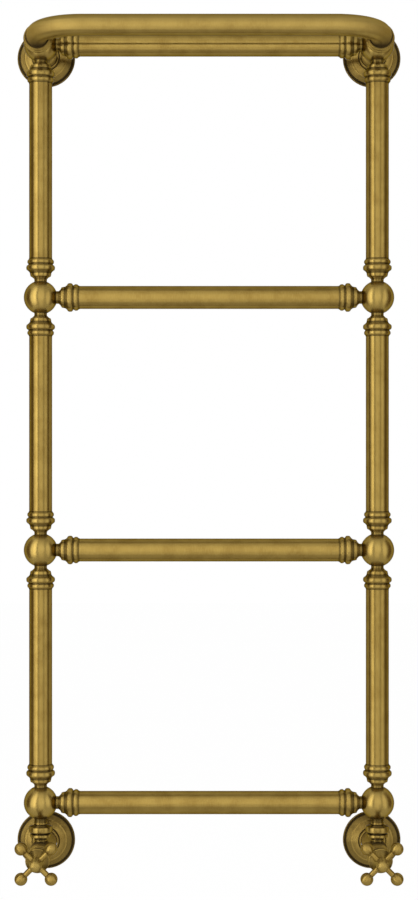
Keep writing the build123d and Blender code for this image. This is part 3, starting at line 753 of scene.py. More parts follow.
@dataclass(frozen=True)
class CollarForm:
    """Turned collar: neck, flare, shoulder, big bead, groove, small bead and mouth."""

    neck_radius: float = 7.5
    neck_end: float = 21.3
    flare_end: float = 24.9
    flare_radius: float = 11.9
    shoulder_end: float = 28.5
    shoulder_radius: float = 12.75
    bead_start: float = 31.8
    bead_foot: float = 15.35
    bead_end: float = 38.2
    bead_bow: float = 1.65
    groove_radius: float = 14.6
    groove_end: float = 39.7
    small_end: float = 44.7
    small_bow: float = 1.15
    mouth: float = 46.1
    mouth_radius: float = 13.95

    def stock(self, seat: float, tube_radius: float, tube_end: float) -> Stock:
        """Turn one collar.

        Args:
            seat: Distance of its seat from the ball's centre.
            tube_radius: Radius of the tube in its socket.
            tube_end: Distance of the tube's end from the ball's centre.

        Returns:
            The collar along Z, its origin at the ball's centre.
        """
        bore = 4.5
        socket = tube_radius + 0.05
        turning = Turning().to(seat, bore, 0.5).to(seat, self.neck_radius, 0.85)
        turning.to(seat + 1.0, self.neck_radius, 0.35).to(self.neck_end, self.neck_radius, 0.45)
        turning.arc(self.flare_end, self.flare_radius, -0.45, 0.05, 6)
        turning.to(self.flare_end + 0.35, self.flare_radius + 0.2, -0.3)
        turning.to(self.shoulder_end - 0.5, self.shoulder_radius, 0.05)
        turning.to(self.shoulder_end, self.shoulder_radius - 0.1, 0.75)
        turning.arc(self.bead_start, self.bead_foot, -0.35, 0.35, 6)
        turning.arc((self.bead_start + self.bead_end) / 2, self.bead_foot + self.bead_bow, 0.6, -0.45, 8)
        turning.arc(self.bead_end, self.bead_foot + 0.1, 0.6, 0.3, 8)
        turning.to(self.bead_end + 0.4, self.groove_radius, 0.70)
        turning.to(self.groove_end, self.groove_radius, 0.65)
        middle = (self.groove_end + self.small_end) / 2
        turning.arc(middle, self.groove_radius + self.small_bow, 0.45, -0.4, 7)
        turning.arc(self.small_end, self.groove_radius - 0.1, 0.45, 0.35, 7)
        turning.to(self.mouth - 0.2, self.mouth_radius, 0.55).to(self.mouth, self.mouth_radius - 0.1, 0.95)
        turning.to(self.mouth, socket, 0.9).to(tube_end, socket, 0.5).to(tube_end, bore, 0.5)
        return turning.stock()


@dataclass
class RailFrame:
    """Balls, collars, uprights and cross rails."""

    plan: RailPlan
    collar: CollarForm = field(default_factory=CollarForm)
    ball_radius: float = 20.0
    ball_brushing: float = 0.62
    ball_wear: float = 0.40
    halo_angles: Span = (22.0, 40.0)
    halo_patina: float = 0.70
    mouth_patina: float = 0.7
    mouth_fade: float = 0.9
    rail_names: tuple[str, ...] = ("bottom_rail", "second_rail", "third_rail", "top_rail")
    stage_names: tuple[str, ...] = ("lower", "middle", "upper")

    def ball(self, ways: list[Way]) -> Stock:
        """Turn one ball about Z and brush it from side to side.

        Args:
            ways: Ways in which necks leave it; painted shade darkens the ball round each of them.

        Returns:
            The ball, its centre at the origin.
        """
        radius = self.ball_radius
        made = Turning().to(-radius, 0).arc(radius, 0, radius, 0.0, 40).stock()
        depth = self.ball_brushing / radius
        made.lay = [Vector((1, 0, 0)).cross(corner) * depth for corner in made.corners]
        # Painted shade: the ball is darkened in a band round each neck, where the collars shade it; away from
        # the necks ball_wear brightens it.
        start, end = self.halo_angles
        for index, corner in enumerate(made.corners):
            angle = min(math.degrees(corner.angle(Vector(way.value))) for way in ways)
            neck_shade_share = min(1.0, max(0.0, (end - angle) / (end - start)))
            made.patina[index] = self.halo_patina * neck_shade_share - self.ball_wear * (1.0 - neck_shade_share)
        return made

    def ball_ways(self, side: Side, level: int) -> list[Way]:
        """List the ways in which necks leave one ball.

        Args:
            side: The ball's upright.
            level: Its level, counted up from the lowest.

        Returns:
            Three ways, or four at the top.
        """
        ways = [Way.UP, Way.DOWN, self.plan.inwards(side)]
        if level == self.plan.levels - 1:
            ways = [Way.DOWN, self.plan.inwards(side), Way.FORWARD, Way.BACK]
        return ways

    def collars(self, spots: list[tuple[Side, int, Way]]) -> Stock:
        """Turn one collar and repeat it.

        Args:
            spots: Side, level and way of each collar.

        Returns:
            The collars as one stock.
        """
        one = self.collar.stock(self.plan.seat, self.plan.tube_radius, self.plan.tube_end)
        made = Stock()
        for side, level, way in spots:
            made.take(one.placed(aimed(self.plan.upright(side, self.plan.level_z(level)), way)))
        return made

    def tube(self, length: float) -> Stock:
        """Draw one open tube, darker where it enters its collars.

        Args:
            length: Length of the tube.

        Returns:
            The tube, along Z from its end.
        """
        outer = self.plan.tube_radius
        inner = outer - self.plan.tube_wall
        mouth = self.plan.socket_depth
        clear = mouth + self.mouth_fade
        turning = Turning(brushing=1.0).to(0, inner, 0.5).to(0, outer, 0.5)
        turning.to(mouth, outer, self.mouth_patina).to(clear, outer, 0.0)
        turning.to(length - clear, outer, 0.0).to(length - mouth, outer, self.mouth_patina)
        return turning.to(length, outer, 0.5).to(length, inner, 0.5).stock()

    def build(self, dresser: Dresser) -> None:
        """Make and dress every piece of the frame.

        Args:
            dresser: Gives each piece its finish, body and node.
        """
        plan = self.plan
        levels = range(plan.levels)
        for side in Side:
            label = side.label
            balls = Stock()
            for level in levels:
                ball = self.ball(self.ball_ways(side, level))
                balls.take(ball.placed(Matrix.Translation(plan.upright(side, plan.level_z(level)))))
            dresser.dress(balls.piece(f"brass_balls_{label}"), f"ball_joints_{label}")
            spots = [(side, level, way) for level in levels for way in plan.upright_ways(level)]
            rings = self.collars(spots)
            dresser.dress(rings.piece(f"turned_upright_collars_{label}"), f"upright_collars_{label}")
            rings = self.collars([(side, level, plan.inwards(side)) for level in levels])
            dresser.dress(rings.piece(f"turned_rail_collars_{label}"), f"rail_collars_{label}")
            self.build_uprights(side, dresser)
        self.build_rails(dresser)

    def build_uprights(self, side: Side, dresser: Dresser) -> None:
        """Make and dress one side's three tubes.

        Args:
            side: The upright.
            dresser: Gives each piece its finish, body and node.
        """
        plan = self.plan
        upright = self.tube(plan.pitch - 2 * plan.tube_end)
        for stage, name in enumerate(self.stage_names):
            place = aimed(plan.upright(side, plan.level_z(stage) + plan.tube_end), Way.UP)
            tube = upright.placed(place).piece(f"{name}_tube_{side.label}")
            dresser.dress(tube, f"{name}_upright_{side.label}")

    def build_rails(self, dresser: Dresser) -> None:
        """Make and dress the four cross rails.

        Args:
            dresser: Gives each piece its finish, body and node.
        """
        plan = self.plan
        rail = self.tube(plan.centres - 2 * plan.tube_end)
        for level, name in enumerate(self.rail_names):
            x, y, z = plan.upright(Side.LEFT, plan.level_z(level))
            place = aimed((x + plan.tube_end, y, z), Way.RIGHT)
            dresser.dress(rail.placed(place).piece(f"{name}_tube"), name)


@dataclass
class TowelHoop:
    """Bent tube that stands forward of the top rail, with the collars at its ends."""

    plan: RailPlan
    collar: CollarForm = field(default_factory=CollarForm)
    reach: float = 103.5
    bend_radius: float = 56.0
    wall: float = 1.5
    bend_steps: int = 28
    # Painted shade near the collars, strongest underneath, and a painted highlight along the top.
    shelter_steps: float = 17.0
    shelter_curve: float = 0.7
    side_patina: float = 0.25
    under_patina: float = 0.95
    even_wear: float = 0.25
    towel_wear: float = 0.65
    segments: int = 72

    def path(self) -> list[tuple[Vector, Vector]]:
        """Lay out the tube's middle line from the left collar to the right.

        Returns:
            Points along it, each with the way the tube runs there.
        """
        half = self.plan.centres / 2
        start = -self.plan.wall_distance - self.plan.tube_end
        front = -self.plan.wall_distance - self.reach
        z = self.plan.level_z(self.plan.levels - 1)
        run = [(Vector((-half, start, z)), Vector((0, -1, 0)))]
        run.append((Vector((-half, start - self.plan.socket_depth, z)), Vector((0, -1, 0))))
        for side, first in ((-1, 0), (1, self.bend_steps)):
            centre = Vector((side * (half - self.bend_radius), front + self.bend_radius, z))
            order = range(self.bend_steps + 1) if side < 0 else range(self.bend_steps, -1, -1)
            for step in order:
                angle = math.pi / 2 * step / self.bend_steps
                out = Vector((side * math.cos(angle), -math.sin(angle), 0))
                way = Vector((-side * math.sin(angle), -math.cos(angle), 0)) * -side
                run.append((centre + out * self.bend_radius, way))
        run.append((Vector((half, start - self.plan.socket_depth, z)), Vector((0, 1, 0))))
        run.append((Vector((half, start, z)), Vector((0, 1, 0))))
        return run

    def tube(self) -> Stock:
        """Skin the path with an outer and an inner tube, closed at the ends.

        Returns:
            The bent tube, in place.
        """
        run = self.path()
        made = Stock()
        radii = (self.plan.hoop_radius, self.plan.hoop_radius - self.wall)
        for radius in radii:
            for index, (spot, way) in enumerate(run):
                beside = way.cross(Vector((0, 0, 1))).normalized()
                # Painted shade darkens the hoop near each collar, most on its underside; away from the
                # collars a painted highlight brightens its top, and even_wear brightens it all round.
                end_shade_share = max(0.0, 1.0 - min(index, len(run) - 1 - index) / self.shelter_steps)
                for turn in range(self.segments):
                    angle = 2 * math.pi * turn / self.segments
                    off = beside * math.cos(angle) + Vector((0, 0, 1)) * math.sin(angle)
                    made.corners.append(spot + off * radius)
                    painted_shade = self.side_patina + self.under_patina * max(0.0, -off.z)
                    painted_shade *= end_shade_share**self.shelter_curve
                    wear_and_highlight = self.even_wear + self.towel_wear * max(0.0, off.z)
                    made.patina.append(painted_shade - wear_and_highlight * (1.0 - end_shade_share))
                    made.lay.append(way.copy())
        rows = len(run)
        for layer in range(len(radii)):
            for index in range(rows - 1):
                self.ring_faces(made, layer * rows + index, layer * rows + index + 1)
        self.ring_faces(made, 0, rows)
        self.ring_faces(made, rows - 1, 2 * rows - 1)
        return made

    def ring_faces(self, made: Stock, first: int, second: int) -> None:
        """Join two rings of corners with faces.

        Args:
            made: The stock that has both rings.
            first: Number of one ring, counted in rings.
            second: Number of the other ring.
        """
        for turn in range(self.segments):
            after = (turn + 1) % self.segments
            low, high = first * self.segments, second * self.segments
            made.faces.append((low + turn, low + after, high + after, high + turn))

    def build(self, dresser: Dresser) -> None:
        """Make and dress the hoop and its collars.

        Args:
            dresser: Gives each piece its finish, body and node.
        """
        dresser.dress(self.tube().piece("bent_hoop_tube"), "hoop_front", "hoop_bend_left", "hoop_bend_right")
        one = self.collar.stock(self.plan.seat, self.plan.hoop_radius, self.plan.tube_end)
        rings = self.plan.pair(one, 0.0, Way.FORWARD)
        dresser.dress(rings.piece("turned_hoop_collars"), "hoop_collars")


@dataclass
class WallFixings:
    """Standoff tubes, their collars and the four rosettes."""

    plan: RailPlan
    collar: CollarForm = field(default_factory=CollarForm)
    plate: float = 4.0
    rosette_radius: float = 35.38
    hole: float = 13.95
    lip_radius: float = 15.95
    depth: float = 15.5

    def rosette(self) -> Stock:
        """Turn one pressed rosette off the wall: rim, groove, slope, ridge, band, step and lip.

        Returns:
            The rosette, along Z from the wall.
        """
        outer = self.rosette_radius
        turning = Turning(segments=120).to(0, outer - 1.6, 0.95).to(0, outer - 0.9, 0.85)
        turning.arc(3.4, outer, 0.2, 0.6, 5).arc(5.0, outer - 1.2, 0.5, 0.6, 6)
        turning.to(4.9, outer - 1.6, 0.95).to(4.2, outer - 2.0, 1.1).to(4.3, outer - 3.1, 1.1)
        turning.to(5.4, outer - 3.7, 1.0).to(5.9, outer - 4.5, 0.45).arc(8.3, 26.2, -0.3, 0.36, 8)
        turning.arc(9.2, 24.6, 0.25, -0.05, 5).to(9.3, 24.0, 0.30)
        turning.arc(11.6, 17.5, 0.35, 0.02, 8).to(11.3, 16.9, 0.95).to(11.3, 16.4, 0.95)
        turning.to(12.0, self.lip_radius, 0.5).arc(14.9, self.lip_radius - 0.15, 0.15, 0.0, 4)
        turning.arc(15.5, self.lip_radius - 0.8, 0.2, -0.2, 4).to(15.5, self.hole + 0.2, 0.5)
        turning.to(15.3, self.hole, 0.95).to(10.0, self.hole, 0.9)
        turning.to(7.0, 23.5, 0.6).to(3.4, outer - 3.4, 0.6).to(0.0, outer - 1.6, 0.95)
        return turning.stock()

    def standoff(self) -> Stock:
        """Draw one standoff tube, darker at the rosette's lip and at its collar.

        Returns:
            The open tube, along Z from its wall plate.
        """
        plan = self.plan
        outer = plan.tube_radius
        inner = outer - plan.tube_wall
        length = plan.wall_distance - plan.tube_end - self.plate
        lip = self.depth - self.plate
        turning = Turning().to(0, inner, 0.6).to(0, outer, 0.6).to(lip, outer, 0.75)
        turning.to(lip + 2.0, outer, 0.1).to(length - plan.socket_depth, outer, 0.6)
        return turning.to(length, outer, 0.5).to(length, inner, 0.5).stock()

    def build(self, dresser: Dresser) -> None:
        """Make and dress the standoffs and rosettes.

        Args:
            dresser: Gives each piece its finish, body and node.
        """
        plan = self.plan
        cover = self.rosette()
        for node, z in (("upper_rosettes", 0.0), ("lower_rosettes", plan.valve_z())):
            dresser.dress(plan.pair(cover, z, Way.FORWARD, 0.0).piece(f"pressed_{node}"), node)
        tubes = plan.pair(self.standoff(), 0.0, Way.FORWARD, -self.plate)
        dresser.dress(tubes.piece("drawn_standoff_tubes"), "standoff_tubes")
        collar = self.collar.stock(plan.seat, plan.tube_radius, plan.tube_end)
        rings = plan.pair(collar, 0.0, Way.BACK)
        dresser.dress(rings.piece("turned_standoff_collars"), "standoff_collars")


@dataclass
class AngleValves:
    """Valve bodies, unions and bonnets below the lowest balls."""

    plan: RailPlan
    barrel: float = 13.65
    front: float = 22.0
    tail_end: float = -75.0
    shoulder: float = -69.0
    thread: float = 10.4
    chamber: float = 9.2
    chamber_back: float = -9.0
    inlet_bore: float = 7.55
    water_bore: float = 4.8
    neck: float = 7.5
    gland_bore: float = 6.5
    gland_neck: float = 9.3
    ring_reach: int = 18
    ring_step: int = 3
    # Painted shade on the barrel's top round the foot of the boss.
    foot_rise: Span = (4.0, 15.0)
    foot_patina: float = 0.9
    foot_reach: float = 20.0
    foot_fade: float = 9.0

    def barrel_stock(self) -> Stock:
        """Turn one valve's barrel, hollow from front and back.

        Rings round its middle keep its faces short where its boss joins it.

        Returns:
            The barrel, along Z with its boss at the origin.
        """
        barrel = Turning(segments=96).to(self.tail_end, self.inlet_bore, 0.6)
        barrel.to(self.tail_end, self.thread, 0.6)
        barrel.to(self.shoulder, self.thread, 0.9).to(self.shoulder, self.barrel, 0.9)
        barrel.to(self.shoulder + 3.0, self.barrel, 0.8).to(self.shoulder + 5.0, self.barrel, 0.15)
        for along in range(-self.ring_reach, self.ring_reach + 1, self.ring_step):
            barrel.to(float(along), self.barrel, 0.0)
        barrel.to(self.front - 3.0, self.barrel, 0.0)
        barrel.arc(self.front, self.barrel - 1.0, 0.35, -0.2, 6).to(self.front, self.chamber, 0.6)
        barrel.to(self.chamber_back, self.chamber, 0.6)
        return barrel.to(self.chamber_back, self.inlet_bore, 0.6).stock()

    def boss_stock(self) -> Stock:
        """Turn one valve's outlet boss with its ring and flange.

        Returns:
            The boss, along Z from the barrel's axis.
        """
        boss = Turning().to(11.0, self.water_bore, 0.5).to(11.0, 6.8, 0.95).to(14.6, 6.8, 0.75)
        boss.arc(15.6, 7.5, 0.25, 0.0, 4).arc(16.6, 6.8, 0.25, 0.8, 4).to(19.2, 6.9, 0.95)
        boss.to(19.4, 11.9, 0.6).arc(21.3, 12.65, 0.4, -0.3, 5).arc(23.2, 11.9, 0.4, 0.4, 5)
        return boss.to(23.3, 9.8, 0.95).to(27.6, 9.8, 0.6).to(27.6, self.water_bore, 0.5).stock()

    def shade_feet(self, data: bpy.types.Mesh) -> None:
        """Paint shade on the top of each body round the foot of its boss.

        Args:
            data: Mesh of both bodies, in place.
        """
        low, high = self.foot_rise
        layer = data.attributes[PATINA_AND_PAINTED_LIGHT].data
        for vertex, cell in zip(data.vertices, layer):
            x, y, z = vertex.co / MM
            rise = z - self.plan.valve_z()
            off = math.hypot(abs(x) - self.plan.centres / 2, y + self.plan.wall_distance)
            if low < rise < high:
                share = min(1.0, (self.foot_reach - off) / self.foot_fade)
                cell.value = max(cell.value, self.foot_patina * share)

    def union_nut(self) -> Stock:
        """Turn the round union nut, a wide bead with a coned top.

        Returns:
            The nut, along Z from the barrel's axis.
        """
        turning = Turning(segments=96).to(25.2, 9.85, 0.6).to(25.2, 12.6, 0.9).arc(26.4, 14.0, 0.25, 0.1, 5)
        turning.arc(31.0, 14.0, 0.15, -0.25, 6).arc(32.2, 12.9, 0.25, 0.3, 5).to(32.3, 12.2, 0.7)
        turning.arc(33.9, 8.7, -0.2, 0.55, 5).to(33.9, self.neck + 0.05, 0.95)
        turning.to(30.5, self.neck + 0.05, 0.6).to(30.5, 9.85, 0.6)
        return turning.stock()

    def union_tail(self) -> Stock:
        """Turn the tail piece with its flange and fine ring.

        Returns:
            The tail piece, along Z from the barrel's axis.
        """
        neck, bore = self.neck, self.water_bore
        seat = self.plan.valve_drop - self.plan.seat
        turning = Turning().to(28.8, bore, 0.6).to(28.8, 9.5, 0.6).to(30.45, 9.5, 0.6).to(30.45, neck, 0.9)
        turning.to(34.4, neck, 0.9).arc(35.8, 8.0, 0.25, -0.2, 4).arc(37.1, neck, 0.25, 0.5, 4)
        turning.to(seat - 0.4, neck, 0.75).to(seat + 0.1, neck, 0.95).to(seat + 0.1, bore, 0.6)
        return turning.stock()

    def bonnet(self) -> Stock:
        """Turn the bonnet's flange and neck.

        Returns:
            The bonnet, along Z from the boss's axis.
        """
        thread, neck = self.chamber - 0.05, self.gland_neck
        turning = Turning().to(10.0, 6.4, 0.5).to(10.0, thread, 0.5).to(self.front, thread, 0.9)
        turning.to(self.front, 11.8, 0.8).arc(24.0, 12.4, 0.4, -0.1, 5).arc(26.0, 11.8, 0.4, 0.4, 5)
        turning.to(26.1, neck, 0.95).to(28.0, neck, 0.4).to(39.0, neck, 0.5).to(41.0, neck, 0.9)
        turning.to(41.0, self.gland_bore, 0.9).to(29.0, self.gland_bore, 0.8)
        return turning.to(29.0, 6.4, 0.8).stock()

    def build(self, dresser: Dresser) -> None:
        """Make and dress both valves' outer pieces.

        Args:
            dresser: Gives each piece its finish, body and node.
        """
        plan = self.plan
        z = plan.valve_z()
        boss = self.boss_stock()
        bosses = [boss.placed(aimed(plan.upright(side, z), Way.UP)) for side in Side]
        bodies = fused("fused_valve_bodies", plan.pair(self.barrel_stock(), z, Way.FORWARD), bosses)
        self.shade_feet(bodies.data)
        dresser.dress(bodies, "valve_bodies")
        turned = (
            ("union_nuts", self.union_nut(), Way.UP),
            ("union_tails", self.union_tail(), Way.UP),
            ("bonnets", self.bonnet(), Way.FORWARD),
        )
        for node, one, way in turned:
            dresser.dress(plan.pair(one, z, way).piece(f"turned_{node}"), node)


@dataclass
class CrossHandle:
    """One handle: bell-skirted hub, four ball-ended arms and the domed cap."""

    plan: RailPlan
    side: Side
    bell_back: float = 41.4
    bell_radius: float = 14.2
    arm_plane: float = 58.6
    arm_radius: float = 3.3
    arm_reach: float = 24.7
    ball_radius: float = 7.5
    ball_steps: int = 24
    arm_count: int = 4
    web_back: float = 47.0
    hub_front: float = 70.0
    front_radius: float = 6.4
    cap_bore: float = 4.65
    dome_rise: float = 4.9
    dome_steps: int = 16

    def hub_closed(self) -> Stock:
        """Turn the hub with its skirt's hollow behind, from the axis to the axis.

        Returns:
            The closed hub, along Z.
        """
        turning = Turning(segments=96).to(self.web_back, 0, 0.9).to(self.web_back, 8.2, 0.9)
        turning.to(43.0, self.bell_radius - 1.6, 0.9).to(self.bell_back, self.bell_radius - 1.5, 0.9)
        turning.outline += self.hub_outline()
        return turning.stock()

    def hub_outline(self) -> list[tuple[float, float, float]]:
        """Draw the outside of the hub from the skirt's edge to the cap's seat.

        Returns:
            Its corners, each as along, radius and patina.
        """
        turning = Turning().to(self.bell_back, self.bell_radius - 0.3, 0.8)
        turning.arc(43.2, self.bell_radius - 0.2, 0.25, -0.2, 5)
        turning.to(43.5, self.bell_radius - 0.9, 0.55).arc(52.2, 6.9, -0.9, 0.05, 12)
        # The hub's outside is drawn rubbed bright all round, a painted highlight that lifts its shaded top.
        turning.arc(self.arm_plane, 7.15, 0.1, -0.5, 6)
        turning.arc(self.hub_front, self.front_radius, 0.45, -0.6, 12)
        turning.to(self.hub_front, self.cap_bore, 0.9).to(66.0, self.cap_bore, 0.9).to(66.0, 0, 0.9)
        return turning.outline

    def arm(self) -> Stock:
        """Turn one arm with its ball end.

        Returns:
            The arm, along Z from the hub's axis.
        """
        reach, ball, arm = self.arm_reach, self.ball_radius, self.arm_radius
        start = math.asin(arm / ball)
        turning = Turning(segments=56).to(2.0, 0).to(2.0, arm, 0.2).to(7.2, arm, 0.35)
        turning.to(9.0, arm, 0.05).to(reach - ball * math.cos(start) - 1.4, arm, 0.05)
        for step in range(self.ball_steps + 1):
            angle = start + (math.pi - start) * step / self.ball_steps
            patina = 0.45 if step == 0 else 0.0
            turning.to(reach - ball * math.cos(angle), max(0.0, ball * math.sin(angle)), patina)
        turning.outline[-1] = (reach + ball, 0.0, 0.0)
        return turning.stock()

    def cap(self) -> Stock:
        """Turn the domed cap on its spigot.

        Returns:
            The closed cap, along Z.
        """
        seat, spigot = self.hub_front + 0.05, self.cap_bore - 0.05
        turning = Turning().to(68.2, 0, 0.9).to(68.2, spigot, 0.9).to(seat, spigot, 0.9)
        turning.to(seat, self.front_radius - 0.1, 0.2)
        base = seat + 0.05
        for step in range(1, self.dome_steps + 1):
            angle = math.pi / 2 * step / self.dome_steps
            radius = max(0.0, self.front_radius * math.cos(angle))
            turning.to(base + self.dome_rise * math.sin(angle), radius, -0.4)
        turning.outline[-1] = (base + self.dome_rise, 0.0, 0.0)
        return turning.stock()

    def build(self, dresser: Dresser) -> None:
        """Make and dress the handle and its cap.

        Args:
            dresser: Gives each piece its finish, body and node.
        """
        centre = aimed(self.plan.upright(self.side, self.plan.valve_z()), Way.FORWARD)
        root = centre @ Matrix.Translation((0, 0, self.arm_plane))
        arms = []
        for index in range(self.arm_count):
            angle = 2 * math.pi * (index + 0.5) / self.arm_count
            lean = Matrix.Rotation(angle, 4, "Z") @ Matrix.Rotation(math.pi / 2, 4, "Y")
            arms.append(self.arm().placed(root @ lean))
        label = self.side.label
        handle = fused(f"cast_handle_{label}", self.hub_closed().placed(centre), arms)
        dresser.dress(handle, f"cross_handle_{label}")
        dresser.dress(self.cap().placed(centre).piece(f"domed_cap_{label}"), f"handle_cap_{label}")


@dataclass
class AirVent:
    """Small bleed plug with its slotted screw on top of the upper left ball."""

    plan: RailPlan
    flats: float = 10.0
    plug_height: float = 2.6
    stem: float = 4.0
    stem_depth: float = 6.0
    bore: float = 2.06
    screw: float = 2.0
    screw_depth: float = 5.0
    head: float = 3.0
    head_low: float = 2.9
    head_high: float = 4.9
    slot_half: float = 0.4
    slot_depth: float = 1.0

    def plug_piece(self) -> bpy.types.Object:
        """Make the hexagon plug: a turned, chamfered and bored blank cut to six flats.

        Returns:
            The plug, in place.
        """
        corner = self.flats / math.sqrt(3)
        turning = Turning(segments=48).to(-self.stem_depth, self.bore, 0.6)
        turning.to(-self.stem_depth, self.stem, 0.6)
        turning.to(0.0, self.stem, 0.9).to(0.0, corner - 0.3, 0.7).to(0.2, corner + 0.5, 0.3)
        turning.to(self.plug_height - 0.5, corner + 0.5, 0.1).to(self.plug_height, corner - 0.7, -0.3)
        blank = turning.to(self.plug_height, self.bore, 0.5).stock()
        made = blank.placed(self.place()).piece("hexagon_vent_plug")
        work = bmesh.new()
        work.from_mesh(made.data)
        centre = self.place().translation
        for index in range(6):
            angle = math.pi / 3 * index
            out = Vector((math.cos(angle), math.sin(angle), 0))
            cut = bmesh.ops.bisect_plane(
                work,
                geom=work.verts[:] + work.edges[:] + work.faces[:],
                plane_co=(centre + out * (self.flats / 2)) * MM,
                plane_no=out,
                clear_outer=True,
            )
            edges = [part for part in cut["geom_cut"] if isinstance(part, bmesh.types.BMEdge)]
            bmesh.ops.contextual_create(work, geom=edges)
        bmesh.ops.recalc_face_normals(work, faces=work.faces)
        work.to_mesh(made.data)
        work.free()
        return made

    def screw_piece(self) -> bpy.types.Object:
        """Turn the vent screw and cut its slot.

        Returns:
            The screw, in place.
        """
        turning = Turning(segments=48).to(-self.screw_depth, 0, 0.6)
        turning.to(-self.screw_depth, self.screw, 0.6)
        turning.to(self.head_low, self.screw, 0.6).to(self.head_low, self.head - 0.2, 0.5)
        turning.to(self.head_low + 0.2, self.head, 0.1).to(self.head_high - 0.3, self.head, 0.0)
        turning.to(self.head_high, self.head - 0.3, -0.2).to(self.head_high, 0, 0.0)
        made = turning.stock().placed(self.place()).piece("slotted_vent_screw")
        cutter = Stock()
        low, high, wide = self.head_high - self.slot_depth, self.head_high + 1.0, 2 * self.head
        for z in (low, high):
            for x, y in ((-1, -1), (1, -1), (1, 1), (-1, 1)):
                cutter.corners.append(Vector((x * self.slot_half, y * wide, z)))
                cutter.patina.append(0.7)
                cutter.lay.append(Vector())
        cutter.faces = [(0, 1, 2, 3), (4, 5, 6, 7), (0, 1, 5, 4), (1, 2, 6, 5), (2, 3, 7, 6), (3, 0, 4, 7)]
        worked(made, [cutter.placed(self.place()).piece("slot_cutter")], "DIFFERENCE")
        return made

    def place(self) -> Matrix:
        """Where the plug's underside sits on the ball."""
        return aimed(self.plan.upright(Side.LEFT, self.plan.seat), Way.UP)

    def build(self, dresser: Dresser) -> None:
        """Make and dress the plug and its screw."""
        dresser.dress(self.plug_piece(), "air_vent_body")
        dresser.dress(self.screw_piece(), "air_vent_screw")


@dataclass(frozen=True)
class Lamp:
    """Flat studio lamp that stands on a line between two plan points, in metres.

    It shines to the right of the way from its start to its end, and leans over by an angle in degrees.
    """

    name: str
    start: Span
    end: Span
    low: float
    high: float
    glow: float
    lean: float = 0.0

    def build(self) -> None:
        """Set the lamp up."""
        width = math.dist(self.start, self.end)
        height = self.high - self.low
        data = bpy.data.lights.new(self.name, "AREA")
        data.shape = "RECTANGLE"
        data.size = width
        data.size_y = height
        data.energy = self.glow * math.pi * width * height
        lamp = bpy.data.objects.new(self.name, data)
        start, end = Vector((*self.start, self.low)), Vector((*self.end, self.low))
        along = (end - start).normalized()
        up = Vector((0, 0, 1))
        turn = Matrix((-along, up, -along.cross(up))).transposed().to_4x4()
        foot = (start + end) / 2
        lean = Matrix.Rotation(math.radians(-self.lean), 4, "X") @ Matrix.Translation((0, height / 2, 0))
        lamp.matrix_world = Matrix.Translation(foot) @ turn @ lean
        bpy.context.scene.collection.objects.link(lamp)


